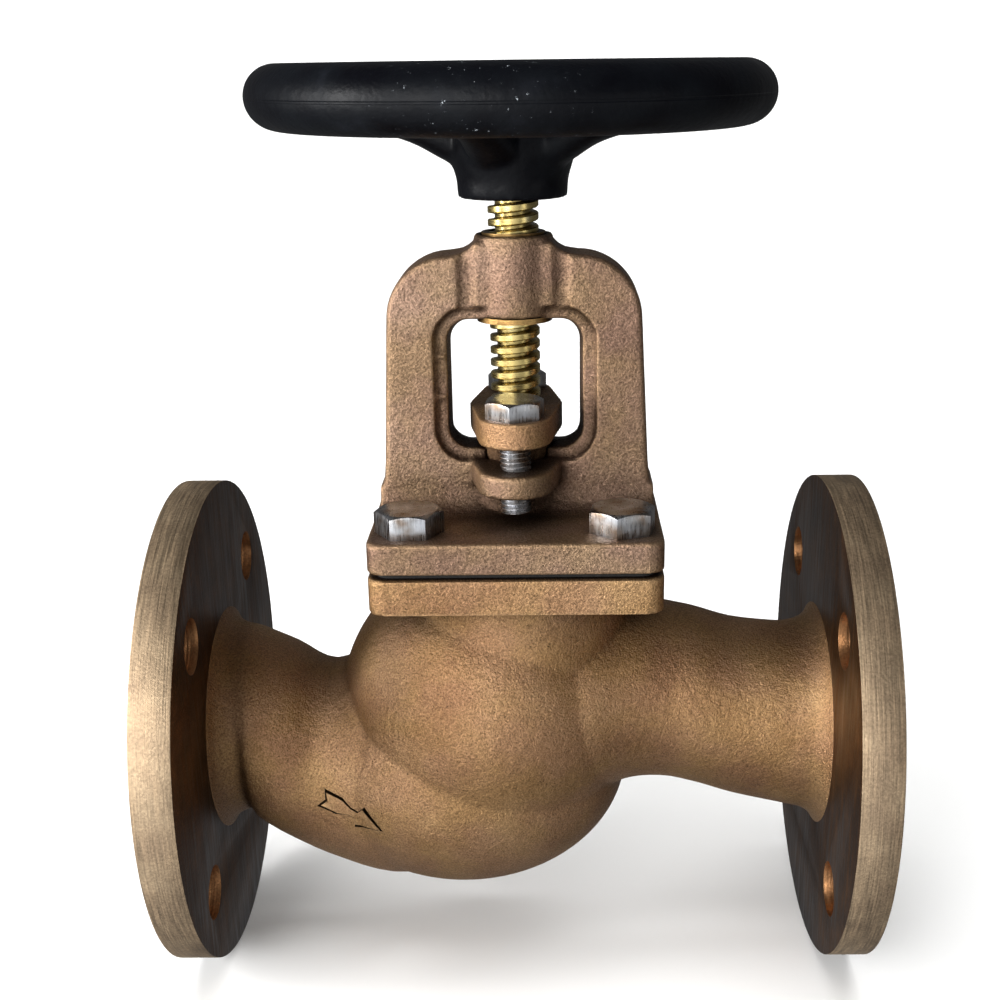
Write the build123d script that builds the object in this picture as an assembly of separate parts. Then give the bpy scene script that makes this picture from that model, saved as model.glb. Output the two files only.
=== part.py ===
from build123d import *
import os
from math import cos, pi, sin, sqrt

# A DN 50 flanged globe valve, straight pattern, with outside screw and yoke.
# Millimetres. +X is the flow direction, +Z runs up along the stem.
# The origin is under the stem, level with the lowest point of the flange rims.
# Heights named ..._Z are measured from the pipe's centre line.

# Line flanges (50 mm nominal bore, four 18 mm holes on a 125 mm circle)
FLANGE_OD = 165.0
FLANGE_THICKNESS = 13.0
FACE_TO_FACE = 230.0
BOLT_CIRCLE = 125.0
BOLT_HOLE_D = 18.0
BOLT_COUNT = 4
BORE_R = 25.0
NECK_R = 32.0
ROOT_FILLET = 6.4

# Body casting
WALL = 6.5
BULB_R = 51.5
BULB_DEPTH_R = 47.0
BULB_X = -10.5
BULB_Z = 6.0
BOWL_X = -19.5
BOWL_Z = -15.0
BOWL_DEPTH_R = 50.0
BOWL_RISE_R = 43.6
BOWL_REACH = 56.0
COLLAR_R = 38.5
COVER_SIDE = 92.0
COVER_CORNER = 5.0
BODY_FLANGE_Z = 54.3
BODY_FLANGE_THICKNESS = 11.8
NECK_BORE_R = 33.0

# Bridge wall and seat between the two chambers
BRIDGE_THICKNESS = 7.5
BRIDGE_TOP_Z = 2.0
BRIDGE_HALF_LENGTH = 36.0
SEAT_RING_R = 29.0
SEAT_RING_DEPTH = 5.0
SEAT_RING_RISE = 3.0

# Joint between body and bonnet
GASKET_THICKNESS = 1.5
GASKET_INSET = 2.5
COVER_BOLT_X = 33.3
COVER_BOLT_Y = 32.0
COVER_BOLT_R = 6.0
COVER_BOLT_HEAD = 7.5
COVER_BOLT_FLATS = 19.0
COVER_BOLT_GRIP = 9.0
COVER_BOLT_TURNS = (2.0, 19.0, 8.0, 25.0)
REGISTER_DEPTH = 4.0
REGISTER_INNER_R = 27.0

# Bonnet, stuffing box and yoke
BONNET_THICKNESS = 10.0
TOWER_R = 15.5
TOWER_HEIGHT = 17.1
LUG_THICKNESS = 7.4
LUG_R = 12.0
YOKE_THICKNESS = 20.0
YOKE_FOOT_WIDTH = 91.0
YOKE_LEG_LOW_WIDTH = 86.4
YOKE_LEG_TOP_WIDTH = 78.8
YOKE_FLARE_HEIGHT = 9.5
YOKE_HEIGHT = 82.0
YOKE_CORNER = 19.0
YOKE_EDGE = 1.2
WINDOW_WIDTH = 44.0
WINDOW_SILL = 20.0
WINDOW_HEIGHT = 42.4
WINDOW_CORNER = 7.0
LIP_WIDTH = 4.6
LIP_RECESS = 2.5
BOSS_R = 12.5
BOSS_HEIGHT = 5.8

# Stem, gland and packing
STEM_R = 8.0
STEM_RUNNING_CLEARANCE = 0.05
BUSH_R = 10.0
BUSH_FLANGE_R = 12.0
BUSH_FLANGE_THICKNESS = 1.7
BACK_SEAT_R = 12.0
BACK_SEAT_LENGTH = 14.0
PACKING_R = 12.0
PACKING_RINGS = 4
PACKING_RING_HEIGHT = 3.8
PACKING_WASHER_HEIGHT = 1.6
GLAND_RAISE = 16.8
GLAND_FLANGE_THICKNESS = 8.4
GLAND_CENTRE_R = 15.0
GLAND_EAR_R = 11.5
GLAND_BOLT_Y = 21.0
GLAND_BOLT_R = 5.0
GLAND_BOLT_HEAD = 5.6
GLAND_BOLT_FLATS = 17.0
GLAND_BOLT_OVERRUN = 6.5
GLAND_BOLT_TURNS = (21.5, 4.0)

# Disc
LIFT = 13.0
DISC_R = 28.0
DISC_THICKNESS = 8.0
DISC_HUB_R = 15.0
DISC_HUB_HEIGHT = 14.0
STEM_HEAD_R = 10.0
STEM_HEAD_HEIGHT = 5.5
DISC_NUT_FLATS = 26.0
DISC_NUT_CAP = 5.0

# Handwheel
WHEEL_OD = 161.0
RIM_WIDTH = 20.0
RIM_HEIGHT = 19.2
RIM_Z = 207.1
HUB_BOTTOM_Z = 176.5
HUB_HEIGHT = 22.5
HUB_R = 17.0
SPOKES = 5
SPOKE_TURN = 36.0
SPOKE_WIDTH = 14.0
SPOKE_DEPTH = 11.0
SQUARE_DRIVE = 11.0
TOP_THREAD_R = 5.0
TOP_NUT_FLATS = 17.0
TOP_NUT_HEIGHT = 8.0
TOP_WASHER_R = 11.0
TOP_WASHER_THICKNESS = 2.0
THREAD_STANDOUT = 2.5

# Clearances
FIT = 0.05
PART_GAP = 0.3
BOLT_GAP = 0.6

# Places that follow from the sizes above
AXIS_Z = FLANGE_OD / 2
FLANGE_INNER_X = FACE_TO_FACE / 2 - FLANGE_THICKNESS
BODY_TOP_Z = BODY_FLANGE_Z + BODY_FLANGE_THICKNESS
BONNET_Z = BODY_TOP_Z + GASKET_THICKNESS
BONNET_TOP_Z = BONNET_Z + BONNET_THICKNESS
TOWER_TOP_Z = BONNET_TOP_Z + TOWER_HEIGHT
GLAND_TOP_Z = TOWER_TOP_Z + GLAND_RAISE
WINDOW_TOP_Z = BONNET_TOP_Z + WINDOW_SILL + WINDOW_HEIGHT
YOKE_TOP_Z = BONNET_TOP_Z + YOKE_HEIGHT
BOSS_TOP_Z = YOKE_TOP_Z + BOSS_HEIGHT
SEAT_FACE_Z = BRIDGE_TOP_Z + SEAT_RING_RISE
DISC_Z = SEAT_FACE_Z + PART_GAP
DISC_TOP_Z = DISC_Z + DISC_THICKNESS
DISC_HUB_TOP_Z = DISC_TOP_Z + DISC_HUB_HEIGHT
STEM_HEAD_Z = DISC_TOP_Z - 1.0
BACK_SEAT_Z = BONNET_TOP_Z - 3.6 - BACK_SEAT_LENGTH
STUFFING_FLOOR_Z = BACK_SEAT_Z + BACK_SEAT_LENGTH
HUB_TOP_Z = HUB_BOTTOM_Z + HUB_HEIGHT
HEX_CORNER = 2 / sqrt(3)


def disc_at(radius, low, high, x=0, y=0):
    """An upright cylinder between two heights above the pipe axis."""
    middle = AXIS_Z + (low + high) / 2
    return Pos(x, y, middle) * Cylinder(radius, high - low)


def ring_at(outer, inner, low, high):
    return disc_at(outer, low, high) - disc_at(inner, low - 1, high + 1)


def hexagon_at(flats, low, high, x=0, y=0, turn=0):
    """A hexagonal head or nut with the top corners chamfered."""
    outline = Rot(0, 0, turn) * RegularPolygon(flats / 2 * HEX_CORNER, 6)
    prism = Pos(x, y, AXIS_Z + low) * extrude(outline, high - low)
    rise = high - low
    slope = 0.6 * (flats / 2 * HEX_CORNER - flats / 2)
    cone = Cone(flats / 2 + rise / 0.6 + slope, flats / 2, rise + slope * 0.6)
    cone_middle = AXIS_Z + high - (rise + slope * 0.6) / 2
    return prism & (Pos(x, y, cone_middle) * cone)


def section_at(x, z, radius):
    """A circle across the flow, centred z above the pipe axis."""
    plane = Plane(origin=(x, 0, AXIS_Z + z), x_dir=(0, 1, 0), z_dir=(1, 0, 0))
    return plane * Circle(radius)


def share(start, end, part):
    return start + (end - start) * part


def inlet_sections(wall, end_radius, overrun):
    """The inlet passage drops from the flange into the lower chamber."""
    low = BOWL_X - 25.5
    drops = ((0.19, -2.6, 1.8), (0.40, -9.0, 2.9), (0.65, -16.2, 3.2))
    sections = [section_at(-FLANGE_INNER_X - overrun, 0, end_radius)]
    if overrun:
        sections.append(section_at(-FLANGE_INNER_X, 0, end_radius))
    for part, drop, growth in drops:
        x = share(-FLANGE_INNER_X, low, part)
        sections.append(section_at(x, drop, end_radius + growth))
    sections.append(section_at(low, BOWL_Z - 0.5, BOWL_RISE_R - 1.6 - wall))
    sections.append(section_at(BOWL_X, BOWL_Z, BOWL_RISE_R - 3.0 - wall))
    return sections


def outlet_sections(wall, end_radius, overrun):
    """The upper chamber tapers towards the outlet flange."""
    high = BULB_X + 58.5
    rises = ((0.22, 7.3, -1.3), (0.47, 3.2, -1.3), (0.74, 0.6, -0.4))
    sections = [section_at(BULB_X, BULB_Z, BULB_DEPTH_R - 3.0 - wall)]
    sections.append(section_at(BULB_X + 28.5, 9.5, BULB_R - 12.0 - wall))
    sections.append(section_at(BULB_X + 45.0, 11.5, BULB_R - 18.0 - wall))
    sections.append(section_at(high, 10.0, end_radius - 1.2))
    for part, rise, growth in rises:
        x = share(high, FLANGE_INNER_X, part)
        sections.append(section_at(x, rise, end_radius + growth))
    sections.append(section_at(FLANGE_INNER_X, 0, end_radius))
    if overrun:
        sections.append(section_at(FLANGE_INNER_X + overrun, 0, end_radius))
    return sections


def lower_chamber(wall, end_radius, overrun):
    passage = loft(inlet_sections(wall, end_radius, overrun))
    half_sizes = (BOWL_REACH - wall, BOWL_DEPTH_R - wall, BOWL_RISE_R - wall)
    bowl = scale(Sphere(1), by=half_sizes)
    return passage + Pos(BOWL_X, 0, AXIS_Z + BOWL_Z) * bowl


def upper_chamber(wall, end_radius, overrun):
    passage = loft(outlet_sections(wall, end_radius, overrun))
    half_sizes = (BULB_R - wall, BULB_DEPTH_R - wall, BULB_R - wall)
    bulb = scale(Sphere(1), by=half_sizes)
    return passage + Pos(BULB_X, 0, AXIS_Z + BULB_Z) * bulb


def side_region(points):
    """A block across the whole body, bounded by a line of points seen from the side."""
    lifted = [(x, AXIS_Z + z) for x, z in points]
    outline = make_face(Plane.XZ * Polyline(*lifted, close=True))
    return extrude(outline, FLANGE_OD, both=True)


def line_flange(side):
    middle = side * (FLANGE_INNER_X + FLANGE_THICKNESS / 2)
    plate = Pos(middle, 0, AXIS_Z) * Rot(0, 90, 0) * Cylinder(FLANGE_OD / 2, FLANGE_THICKNESS)
    rim = [e for e in plate.edges() if e.geom_type == GeomType.CIRCLE]
    plate = chamfer(rim, 1.0)
    root_x = side * (FLANGE_INNER_X - ROOT_FILLET / 2)
    root_r = NECK_R + ROOT_FILLET
    root = Pos(root_x, 0, AXIS_Z) * Rot(0, 90, 0) * Cylinder(root_r, ROOT_FILLET)
    edge_x = side * (FLANGE_INNER_X - ROOT_FILLET)
    root -= Pos(edge_x, 0, AXIS_Z) * Rot(0, 90, 0) * Torus(root_r, ROOT_FILLET)
    return plate + root


def line_flange_holes(side):
    """The flange holes straddle the centre lines."""
    holes = []
    x = side * (FLANGE_INNER_X + FLANGE_THICKNESS / 2)
    for index in range(BOLT_COUNT):
        angle = 2 * pi * (index + 0.5) / BOLT_COUNT
        y = BOLT_CIRCLE / 2 * cos(angle)
        z = AXIS_Z + BOLT_CIRCLE / 2 * sin(angle)
        hole = Cylinder(BOLT_HOLE_D / 2, 2 * FLANGE_THICKNESS)
        holes.append(Pos(x, y, z) * Rot(0, 90, 0) * hole)
    return holes


def cover_bolt_places():
    return [(x, y) for y in (-COVER_BOLT_Y, COVER_BOLT_Y) for x in (-COVER_BOLT_X, COVER_BOLT_X)]


def cover_plate(inset, low, high):
    side = COVER_SIDE - 2 * inset
    outline = RectangleRounded(side, side, COVER_CORNER)
    return Pos(0, 0, AXIS_Z + low) * extrude(outline, high - low)


def make_body():
    casting = upper_chamber(0, NECK_R, 0) + lower_chamber(0, NECK_R, 0)
    casting += disc_at(COLLAR_R, BULB_Z, BODY_FLANGE_Z)
    casting += cover_plate(0, BODY_FLANGE_Z, BODY_TOP_Z)
    for side in (-1, 1):
        casting += line_flange(side)
    past = FLANGE_THICKNESS + 5
    far = FACE_TO_FACE
    half = BRIDGE_HALF_LENGTH
    ceiling = BRIDGE_TOP_Z - BRIDGE_THICKNESS
    turn = half + BRIDGE_THICKNESS / 3
    below = [(far, ceiling), (-turn, ceiling), (-far, ceiling + far - turn), (-far, -far), (far, -far)]
    above = [(half, BRIDGE_TOP_Z), (far, BRIDGE_TOP_Z - far + half), (far, far), (-far, far)]
    above += [(-far, BRIDGE_TOP_Z + far - half), (-half, BRIDGE_TOP_Z)]
    lower = lower_chamber(WALL, BORE_R, past) & side_region(below)
    upper = upper_chamber(WALL, BORE_R, past) & side_region(above)
    casting -= lower
    casting -= upper
    casting -= disc_at(NECK_BORE_R, BULB_Z + 20, BODY_TOP_Z + 1)
    casting -= disc_at(BORE_R, BRIDGE_TOP_Z - BRIDGE_THICKNESS - 2, BRIDGE_TOP_Z + 1)
    casting -= disc_at(SEAT_RING_R + FIT, BRIDGE_TOP_Z - SEAT_RING_DEPTH, BRIDGE_TOP_Z + 1)
    for side in (-1, 1):
        for hole in line_flange_holes(side):
            casting -= hole
    for x, y in cover_bolt_places():
        depth = COVER_BOLT_GRIP + 1.5
        casting -= disc_at(COVER_BOLT_R + FIT, BODY_TOP_Z - depth, BODY_TOP_Z + 1, x, y)
    return casting


def make_seat_ring():
    ring = ring_at(SEAT_RING_R, BORE_R, BRIDGE_TOP_Z - SEAT_RING_DEPTH, SEAT_FACE_Z)
    top = ring.edges().filter_by(GeomType.CIRCLE).group_by(Axis.Z)[-1]
    return chamfer(top, 0.8)


def make_gasket():
    sheet = cover_plate(GASKET_INSET, BODY_TOP_Z, BONNET_Z)
    sheet -= disc_at(NECK_BORE_R + FIT, BODY_TOP_Z - 1, BONNET_Z + 1)
    for x, y in cover_bolt_places():
        sheet -= disc_at(COVER_BOLT_R + BOLT_GAP, BODY_TOP_Z - 1, BONNET_Z + 1, x, y)
    return sheet


def yoke_outline():
    low = AXIS_Z + BONNET_TOP_Z
    knee = low + YOKE_FLARE_HEIGHT
    top = AXIS_Z + YOKE_TOP_Z
    right = [(YOKE_FOOT_WIDTH / 2, low - 2)]
    right += [(YOKE_LEG_LOW_WIDTH / 2, knee), (YOKE_LEG_TOP_WIDTH / 2, top)]
    left = [(-x, z) for x, z in reversed(right)]
    return make_face(Plane.XZ * Polyline(*right, *left, close=True))


def window_block(extra, depth):
    """The yoke window, grown by extra on every side."""
    height = WINDOW_HEIGHT + 2 * extra
    outline = RectangleRounded(WINDOW_WIDTH + 2 * extra, height, WINDOW_CORNER + extra)
    middle = AXIS_Z + WINDOW_TOP_Z - WINDOW_HEIGHT / 2
    return Pos(0, 0, middle) * extrude(Plane.XZ * outline, depth, both=True)


def make_yoke():
    plate = extrude(yoke_outline(), YOKE_THICKNESS / 2, both=True)
    shoulders = plate.edges().filter_by(Axis.Y).group_by(Axis.Z)[-1]
    plate = fillet(shoulders, YOKE_CORNER)
    faces = plate.faces().sort_by(Axis.Y)
    outside = (faces[0].edges() + faces[-1].edges()).sort_by(Axis.Z)[2:]
    plate = chamfer(outside, YOKE_EDGE)
    half = YOKE_THICKNESS / 2
    for side in (-1, 1):
        recess = window_block(LIP_WIDTH, LIP_RECESS)
        plate -= Pos(0, side * half, 0) * recess
    return plate - window_block(0, YOKE_THICKNESS)


def lug_outline(centre_r, ear_r):
    return Rot(0, 0, 90) * SlotCenterToCenter(2 * GLAND_BOLT_Y, 2 * ear_r) + Circle(centre_r)


def make_bonnet():
    bonnet = cover_plate(0, BONNET_Z, BONNET_TOP_Z)
    register_r = NECK_BORE_R - PART_GAP
    bonnet += disc_at(register_r, BODY_TOP_Z - REGISTER_DEPTH, BONNET_Z)
    bonnet -= disc_at(REGISTER_INNER_R, BODY_TOP_Z - REGISTER_DEPTH - 1, BONNET_Z)
    bonnet += make_yoke()
    bonnet += disc_at(TOWER_R, BONNET_TOP_Z, TOWER_TOP_Z)
    lug = extrude(lug_outline(TOWER_R + 1, LUG_R), LUG_THICKNESS)
    bonnet += Pos(0, 0, AXIS_Z + TOWER_TOP_Z - LUG_THICKNESS) * lug
    bonnet += disc_at(BOSS_R, WINDOW_TOP_Z, BOSS_TOP_Z)
    bonnet -= disc_at(BUSH_R + FIT, WINDOW_TOP_Z - 1, BOSS_TOP_Z + 1)
    bonnet += disc_at(BACK_SEAT_R + 4, BONNET_Z - 3, BONNET_Z)
    bonnet -= disc_at(BACK_SEAT_R + FIT, BACK_SEAT_Z - 1, STUFFING_FLOOR_Z)
    sill = BONNET_TOP_Z + WINDOW_SILL
    bonnet -= disc_at(PACKING_R + FIT, STUFFING_FLOOR_Z, sill + 1)
    for x, y in cover_bolt_places():
        bonnet -= disc_at(COVER_BOLT_R + BOLT_GAP, BONNET_Z - 1, BONNET_TOP_Z + 1, x, y)
        # The spot face keeps the head clear of the yoke's foot.
        spot = COVER_BOLT_FLATS / 2 * HEX_CORNER + 1.5
        bonnet -= disc_at(spot, BONNET_TOP_Z, BONNET_TOP_Z + COVER_BOLT_HEAD + 6, x, y)
    for y in (-GLAND_BOLT_Y, GLAND_BOLT_Y):
        bonnet -= disc_at(GLAND_BOLT_R + FIT, BONNET_TOP_Z + 1, TOWER_TOP_Z + 1, 0, y)
    return bonnet


def make_cover_bolt(index):
    x, y = cover_bolt_places()[index]
    top = BONNET_TOP_Z + COVER_BOLT_HEAD
    bolt = hexagon_at(COVER_BOLT_FLATS, BONNET_TOP_Z, top, x, y, COVER_BOLT_TURNS[index])
    return bolt + disc_at(COVER_BOLT_R, BODY_TOP_Z - COVER_BOLT_GRIP, BONNET_TOP_Z, x, y)


def make_back_seat_bush():
    return ring_at(BACK_SEAT_R, STEM_R + PART_GAP, BACK_SEAT_Z, STUFFING_FLOOR_Z)


def make_yoke_bush():
    inner = STEM_R + STEM_RUNNING_CLEARANCE
    bush = ring_at(BUSH_R, inner, WINDOW_TOP_Z, BOSS_TOP_Z + 0.6)
    return bush + ring_at(BUSH_FLANGE_R, inner, WINDOW_TOP_Z - BUSH_FLANGE_THICKNESS, WINDOW_TOP_Z)


def make_packing_washer():
    top = STUFFING_FLOOR_Z + PACKING_WASHER_HEIGHT
    return ring_at(PACKING_R, STEM_R + PART_GAP, STUFFING_FLOOR_Z, top)


def make_packing_ring(index):
    low = STUFFING_FLOOR_Z + PACKING_WASHER_HEIGHT + index * PACKING_RING_HEIGHT
    inner = STEM_R + STEM_RUNNING_CLEARANCE
    return ring_at(PACKING_R, inner, low, low + PACKING_RING_HEIGHT)


def make_gland():
    nose_z = STUFFING_FLOOR_Z + PACKING_WASHER_HEIGHT + PACKING_RINGS * PACKING_RING_HEIGHT
    plate = extrude(lug_outline(GLAND_CENTRE_R, GLAND_EAR_R), GLAND_FLANGE_THICKNESS)
    gland = Pos(0, 0, AXIS_Z + GLAND_TOP_Z - GLAND_FLANGE_THICKNESS) * plate
    gland += disc_at(PACKING_R, nose_z, GLAND_TOP_Z - GLAND_FLANGE_THICKNESS)
    gland -= disc_at(STEM_R + PART_GAP, nose_z - 1, GLAND_TOP_Z + 1)
    for y in (-GLAND_BOLT_Y, GLAND_BOLT_Y):
        gland -= disc_at(GLAND_BOLT_R + BOLT_GAP, nose_z - 1, GLAND_TOP_Z + 1, 0, y)
    return gland


def make_gland_bolt(index):
    y = (-GLAND_BOLT_Y, GLAND_BOLT_Y)[index]
    top = GLAND_TOP_Z + GLAND_BOLT_HEAD
    bolt = hexagon_at(GLAND_BOLT_FLATS, GLAND_TOP_Z, top, 0, y, GLAND_BOLT_TURNS[index])
    tip = TOWER_TOP_Z - LUG_THICKNESS - GLAND_BOLT_OVERRUN
    return bolt + disc_at(GLAND_BOLT_R, tip, GLAND_TOP_Z, 0, y)


def make_disc():
    disc = disc_at(DISC_R, DISC_Z, DISC_TOP_Z) + disc_at(DISC_HUB_R, DISC_TOP_Z, DISC_HUB_TOP_Z)
    return disc - disc_at(STEM_HEAD_R + PART_GAP, STEM_HEAD_Z - PART_GAP, DISC_HUB_TOP_Z + 1)


def make_disc_nut():
    plug_z = STEM_HEAD_Z + STEM_HEAD_HEIGHT + PART_GAP
    top = DISC_HUB_TOP_Z + DISC_NUT_CAP
    nut = hexagon_at(DISC_NUT_FLATS, DISC_HUB_TOP_Z, top)
    nut += disc_at(STEM_HEAD_R + PART_GAP - FIT, plug_z, DISC_HUB_TOP_Z)
    return nut - disc_at(STEM_R + PART_GAP, plug_z - 1, top + 1)


def make_stem():
    stem = disc_at(STEM_R, STEM_HEAD_Z, HUB_BOTTOM_Z)
    stem += disc_at(STEM_HEAD_R, STEM_HEAD_Z, STEM_HEAD_Z + STEM_HEAD_HEIGHT)
    collar_top = BACK_SEAT_Z - LIFT - PART_GAP
    shoulder = Pos(0, 0, AXIS_Z + collar_top - 4) * Cone(STEM_R, BACK_SEAT_R - 1, 4)
    stem += shoulder + disc_at(BACK_SEAT_R - 1, collar_top - 2, collar_top)
    drive = SQUARE_DRIVE - 2 * FIT
    square = Rectangle(drive, drive)
    stem += Pos(0, 0, AXIS_Z + HUB_BOTTOM_Z) * extrude(square, HUB_HEIGHT - 0.5)
    tip = HUB_TOP_Z + TOP_WASHER_THICKNESS + TOP_NUT_HEIGHT + THREAD_STANDOUT
    return stem + disc_at(TOP_THREAD_R, HUB_TOP_Z - 0.5, tip)


def make_spoke(index):
    """One spoke, dished upwards from the hub to the rim."""
    rim_centre_r = (WHEEL_OD - RIM_WIDTH) / 2
    stations = ((HUB_R - 5, HUB_BOTTOM_Z + 0.62 * HUB_HEIGHT, 1.25, 1.35),)
    stations += ((share(HUB_R, rim_centre_r, 0.3), share(HUB_TOP_Z, RIM_Z, 0.05) - 1.0, 1.0, 1.0),)
    stations += ((share(HUB_R, rim_centre_r, 0.68), share(HUB_TOP_Z, RIM_Z, 0.7) - 1.0, 0.9, 0.9),)
    stations += ((rim_centre_r, RIM_Z, 0.95, 0.9),)
    sections = []
    for radius, z, wide, deep in stations:
        plane = Plane(origin=(radius, 0, AXIS_Z + z), x_dir=(0, 1, 0), z_dir=(1, 0, 0))
        sections.append(plane * Ellipse(SPOKE_WIDTH / 2 * wide, SPOKE_DEPTH / 2 * deep))
    return Rot(0, 0, SPOKE_TURN + index * 360 / SPOKES) * loft(sections)


def make_handwheel():
    rim_centre_r = (WHEEL_OD - RIM_WIDTH) / 2
    section = Ellipse(RIM_WIDTH / 2, RIM_HEIGHT / 2)
    wheel = revolve(Plane.XZ * Pos(rim_centre_r, AXIS_Z + RIM_Z, 0) * section, Axis.Z)
    for index in range(SPOKES):
        wheel += make_spoke(index)
    hub = disc_at(HUB_R, HUB_BOTTOM_Z, HUB_TOP_Z)
    hub = chamfer(hub.edges().filter_by(GeomType.CIRCLE), 1.0)
    flare_low = HUB_BOTTOM_Z + 0.3 * HUB_HEIGHT
    flare = Cone(HUB_R - 0.5, HUB_R + 3, HUB_HEIGHT * 0.5)
    hub += Pos(0, 0, AXIS_Z + flare_low + HUB_HEIGHT * 0.25) * flare
    wheel += hub
    drive = extrude(Rectangle(SQUARE_DRIVE, SQUARE_DRIVE), HUB_HEIGHT + 4)
    return wheel - Pos(0, 0, AXIS_Z + HUB_BOTTOM_Z - 2) * drive


def make_handwheel_washer():
    inner = TOP_THREAD_R + PART_GAP
    return ring_at(TOP_WASHER_R, inner, HUB_TOP_Z, HUB_TOP_Z + TOP_WASHER_THICKNESS)


def make_handwheel_nut():
    low = HUB_TOP_Z + TOP_WASHER_THICKNESS
    nut = hexagon_at(TOP_NUT_FLATS, low, low + TOP_NUT_HEIGHT, 0, 0, 11)
    return nut - disc_at(TOP_THREAD_R + FIT, low - 1, low + TOP_NUT_HEIGHT + 1)


def all_parts():
    parts = {"body": make_body(), "seat_ring": make_seat_ring()}
    parts["bonnet_gasket"] = make_gasket()
    parts["bonnet"] = make_bonnet()
    for index in range(len(cover_bolt_places())):
        parts[f"bonnet_bolt_{index + 1}"] = make_cover_bolt(index)
    parts["back_seat_bush"] = make_back_seat_bush()
    parts["yoke_bush"] = make_yoke_bush()
    parts["packing_washer"] = make_packing_washer()
    for index in range(PACKING_RINGS):
        parts[f"packing_ring_{index + 1}"] = make_packing_ring(index)
    parts["gland"] = make_gland()
    parts["gland_bolt_front"] = make_gland_bolt(0)
    parts["gland_bolt_rear"] = make_gland_bolt(1)
    parts["disc"] = make_disc()
    parts["disc_nut"] = make_disc_nut()
    parts["stem"] = make_stem()
    parts["handwheel"] = make_handwheel()
    parts["handwheel_washer"] = make_handwheel_washer()
    parts["handwheel_nut"] = make_handwheel_nut()
    return parts


os.makedirs("parts", exist_ok=True)
for name, part in all_parts().items():
    export_step(part, f"parts/{name}.step")
    print(name, "volume", round(part.volume))
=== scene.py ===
# %% [markdown]
# # A flanged bronze globe valve
# This lesson builds the looks of a 50 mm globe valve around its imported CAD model. The CAD gives
# every size and every joint. Here the castings get soft corners and a sand-cast skin, the stem gets
# its real thread, and each finish is made from what it is on the bench.

# %% Load the frame
import math

import bpy
from mathutils import Matrix, Vector


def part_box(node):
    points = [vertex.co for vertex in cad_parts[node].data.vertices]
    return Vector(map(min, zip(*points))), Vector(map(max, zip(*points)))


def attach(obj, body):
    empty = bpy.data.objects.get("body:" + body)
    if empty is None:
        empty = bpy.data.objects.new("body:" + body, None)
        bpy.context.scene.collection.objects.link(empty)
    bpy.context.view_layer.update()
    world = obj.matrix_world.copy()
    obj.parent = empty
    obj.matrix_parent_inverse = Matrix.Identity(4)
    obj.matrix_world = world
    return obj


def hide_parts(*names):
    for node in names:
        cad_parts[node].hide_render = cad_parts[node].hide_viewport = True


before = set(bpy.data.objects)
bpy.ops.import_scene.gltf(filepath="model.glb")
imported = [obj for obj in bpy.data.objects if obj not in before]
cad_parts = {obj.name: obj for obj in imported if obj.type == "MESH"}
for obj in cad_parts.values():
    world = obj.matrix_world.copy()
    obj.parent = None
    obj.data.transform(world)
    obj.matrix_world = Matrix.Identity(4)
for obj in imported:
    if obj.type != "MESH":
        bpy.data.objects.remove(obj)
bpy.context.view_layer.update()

# %% [markdown]
# Sizes are easiest to read in millimetres, and Blender works in metres, so one constant turns one
# into the other. Heights are measured from the pipe's centre line, which lies at half the height of
# the body, because the two round flanges are its lowest and highest points.

# %% Units and the places that everything hangs on
MM = 0.001
body_low, body_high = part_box("body")
AXIS_Z = (body_low.z + body_high.z) / 2 / MM
FLANGE_R = (body_high.z - body_low.z) / 2 / MM
FACE_X = body_high.x / MM
FLANGE_THICK = 13.0
FLANGE_BACK_X = FACE_X - FLANGE_THICK
BOLT_CIRCLE_R = 62.5
BOLT_HOLE_R = 9.0
BORE_R = 25.0
NECK_R = 32.0
print("pipe axis at", AXIS_Z, "mm, flange radius", FLANGE_R, "mm")


def top_of(node):
    """The height of a CAD node's top above the pipe axis, in millimetres."""
    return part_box(node)[1].z / MM - AXIS_Z


def bottom_of(node):
    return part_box(node)[0].z / MM - AXIS_Z


# %% [markdown]
# ## How a piece is made
# Each piece starts as a primitive, gets shaped in edit mode and is finished by modifiers that are
# applied at once. These few helpers do what a person does with the keyboard: deselect, add, name,
# apply a modifier, cut with another object.

# %% Small helpers for modelling
def start_clean():
    if bpy.context.mode != "OBJECT":
        bpy.ops.object.mode_set(mode="OBJECT")
    bpy.ops.object.select_all(action="DESELECT")


def take(name):
    """Names the primitive that was just added and sets its place in its mesh."""
    piece = bpy.context.active_object
    piece.name = name
    piece.data.name = name
    bpy.ops.object.transform_apply(location=True, rotation=True, scale=True)
    return piece


def choose(piece):
    start_clean()
    piece.select_set(True)
    bpy.context.view_layer.objects.active = piece


def modify(piece, kind, **settings):
    choose(piece)
    modifier = piece.modifiers.new(kind.title(), kind)
    for key, value in settings.items():
        setattr(modifier, key, value)
    bpy.ops.object.modifier_apply(modifier=modifier.name)
    return piece


def combine(piece, tool, operation):
    """Joins, cuts or crosses piece with tool, and removes the tool."""
    modify(piece, "BOOLEAN", operation=operation, object=tool, solver="EXACT")
    bpy.data.objects.remove(tool)
    return piece


def cylinder(name, radius, low, high, x=0.0, y=0.0, sides=64):
    """An upright cylinder between two heights above the pipe axis, in millimetres."""
    start_clean()
    middle = (AXIS_Z + (low + high) / 2) * MM
    bpy.ops.mesh.primitive_cylinder_add(
        vertices=sides, radius=radius * MM, depth=(high - low) * MM, location=(x * MM, y * MM, middle)
    )
    return take(name)


def cylinder_along(name, radius, low_x, high_x, y=0.0, z=0.0, sides=64):
    """A cylinder that lies along the pipe."""
    start_clean()
    place = ((low_x + high_x) / 2 * MM, y * MM, (AXIS_Z + z) * MM)
    bpy.ops.mesh.primitive_cylinder_add(
        vertices=sides, radius=radius * MM, depth=(high_x - low_x) * MM, location=place,
        rotation=(0, math.pi / 2, 0),
    )
    return take(name)


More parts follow.
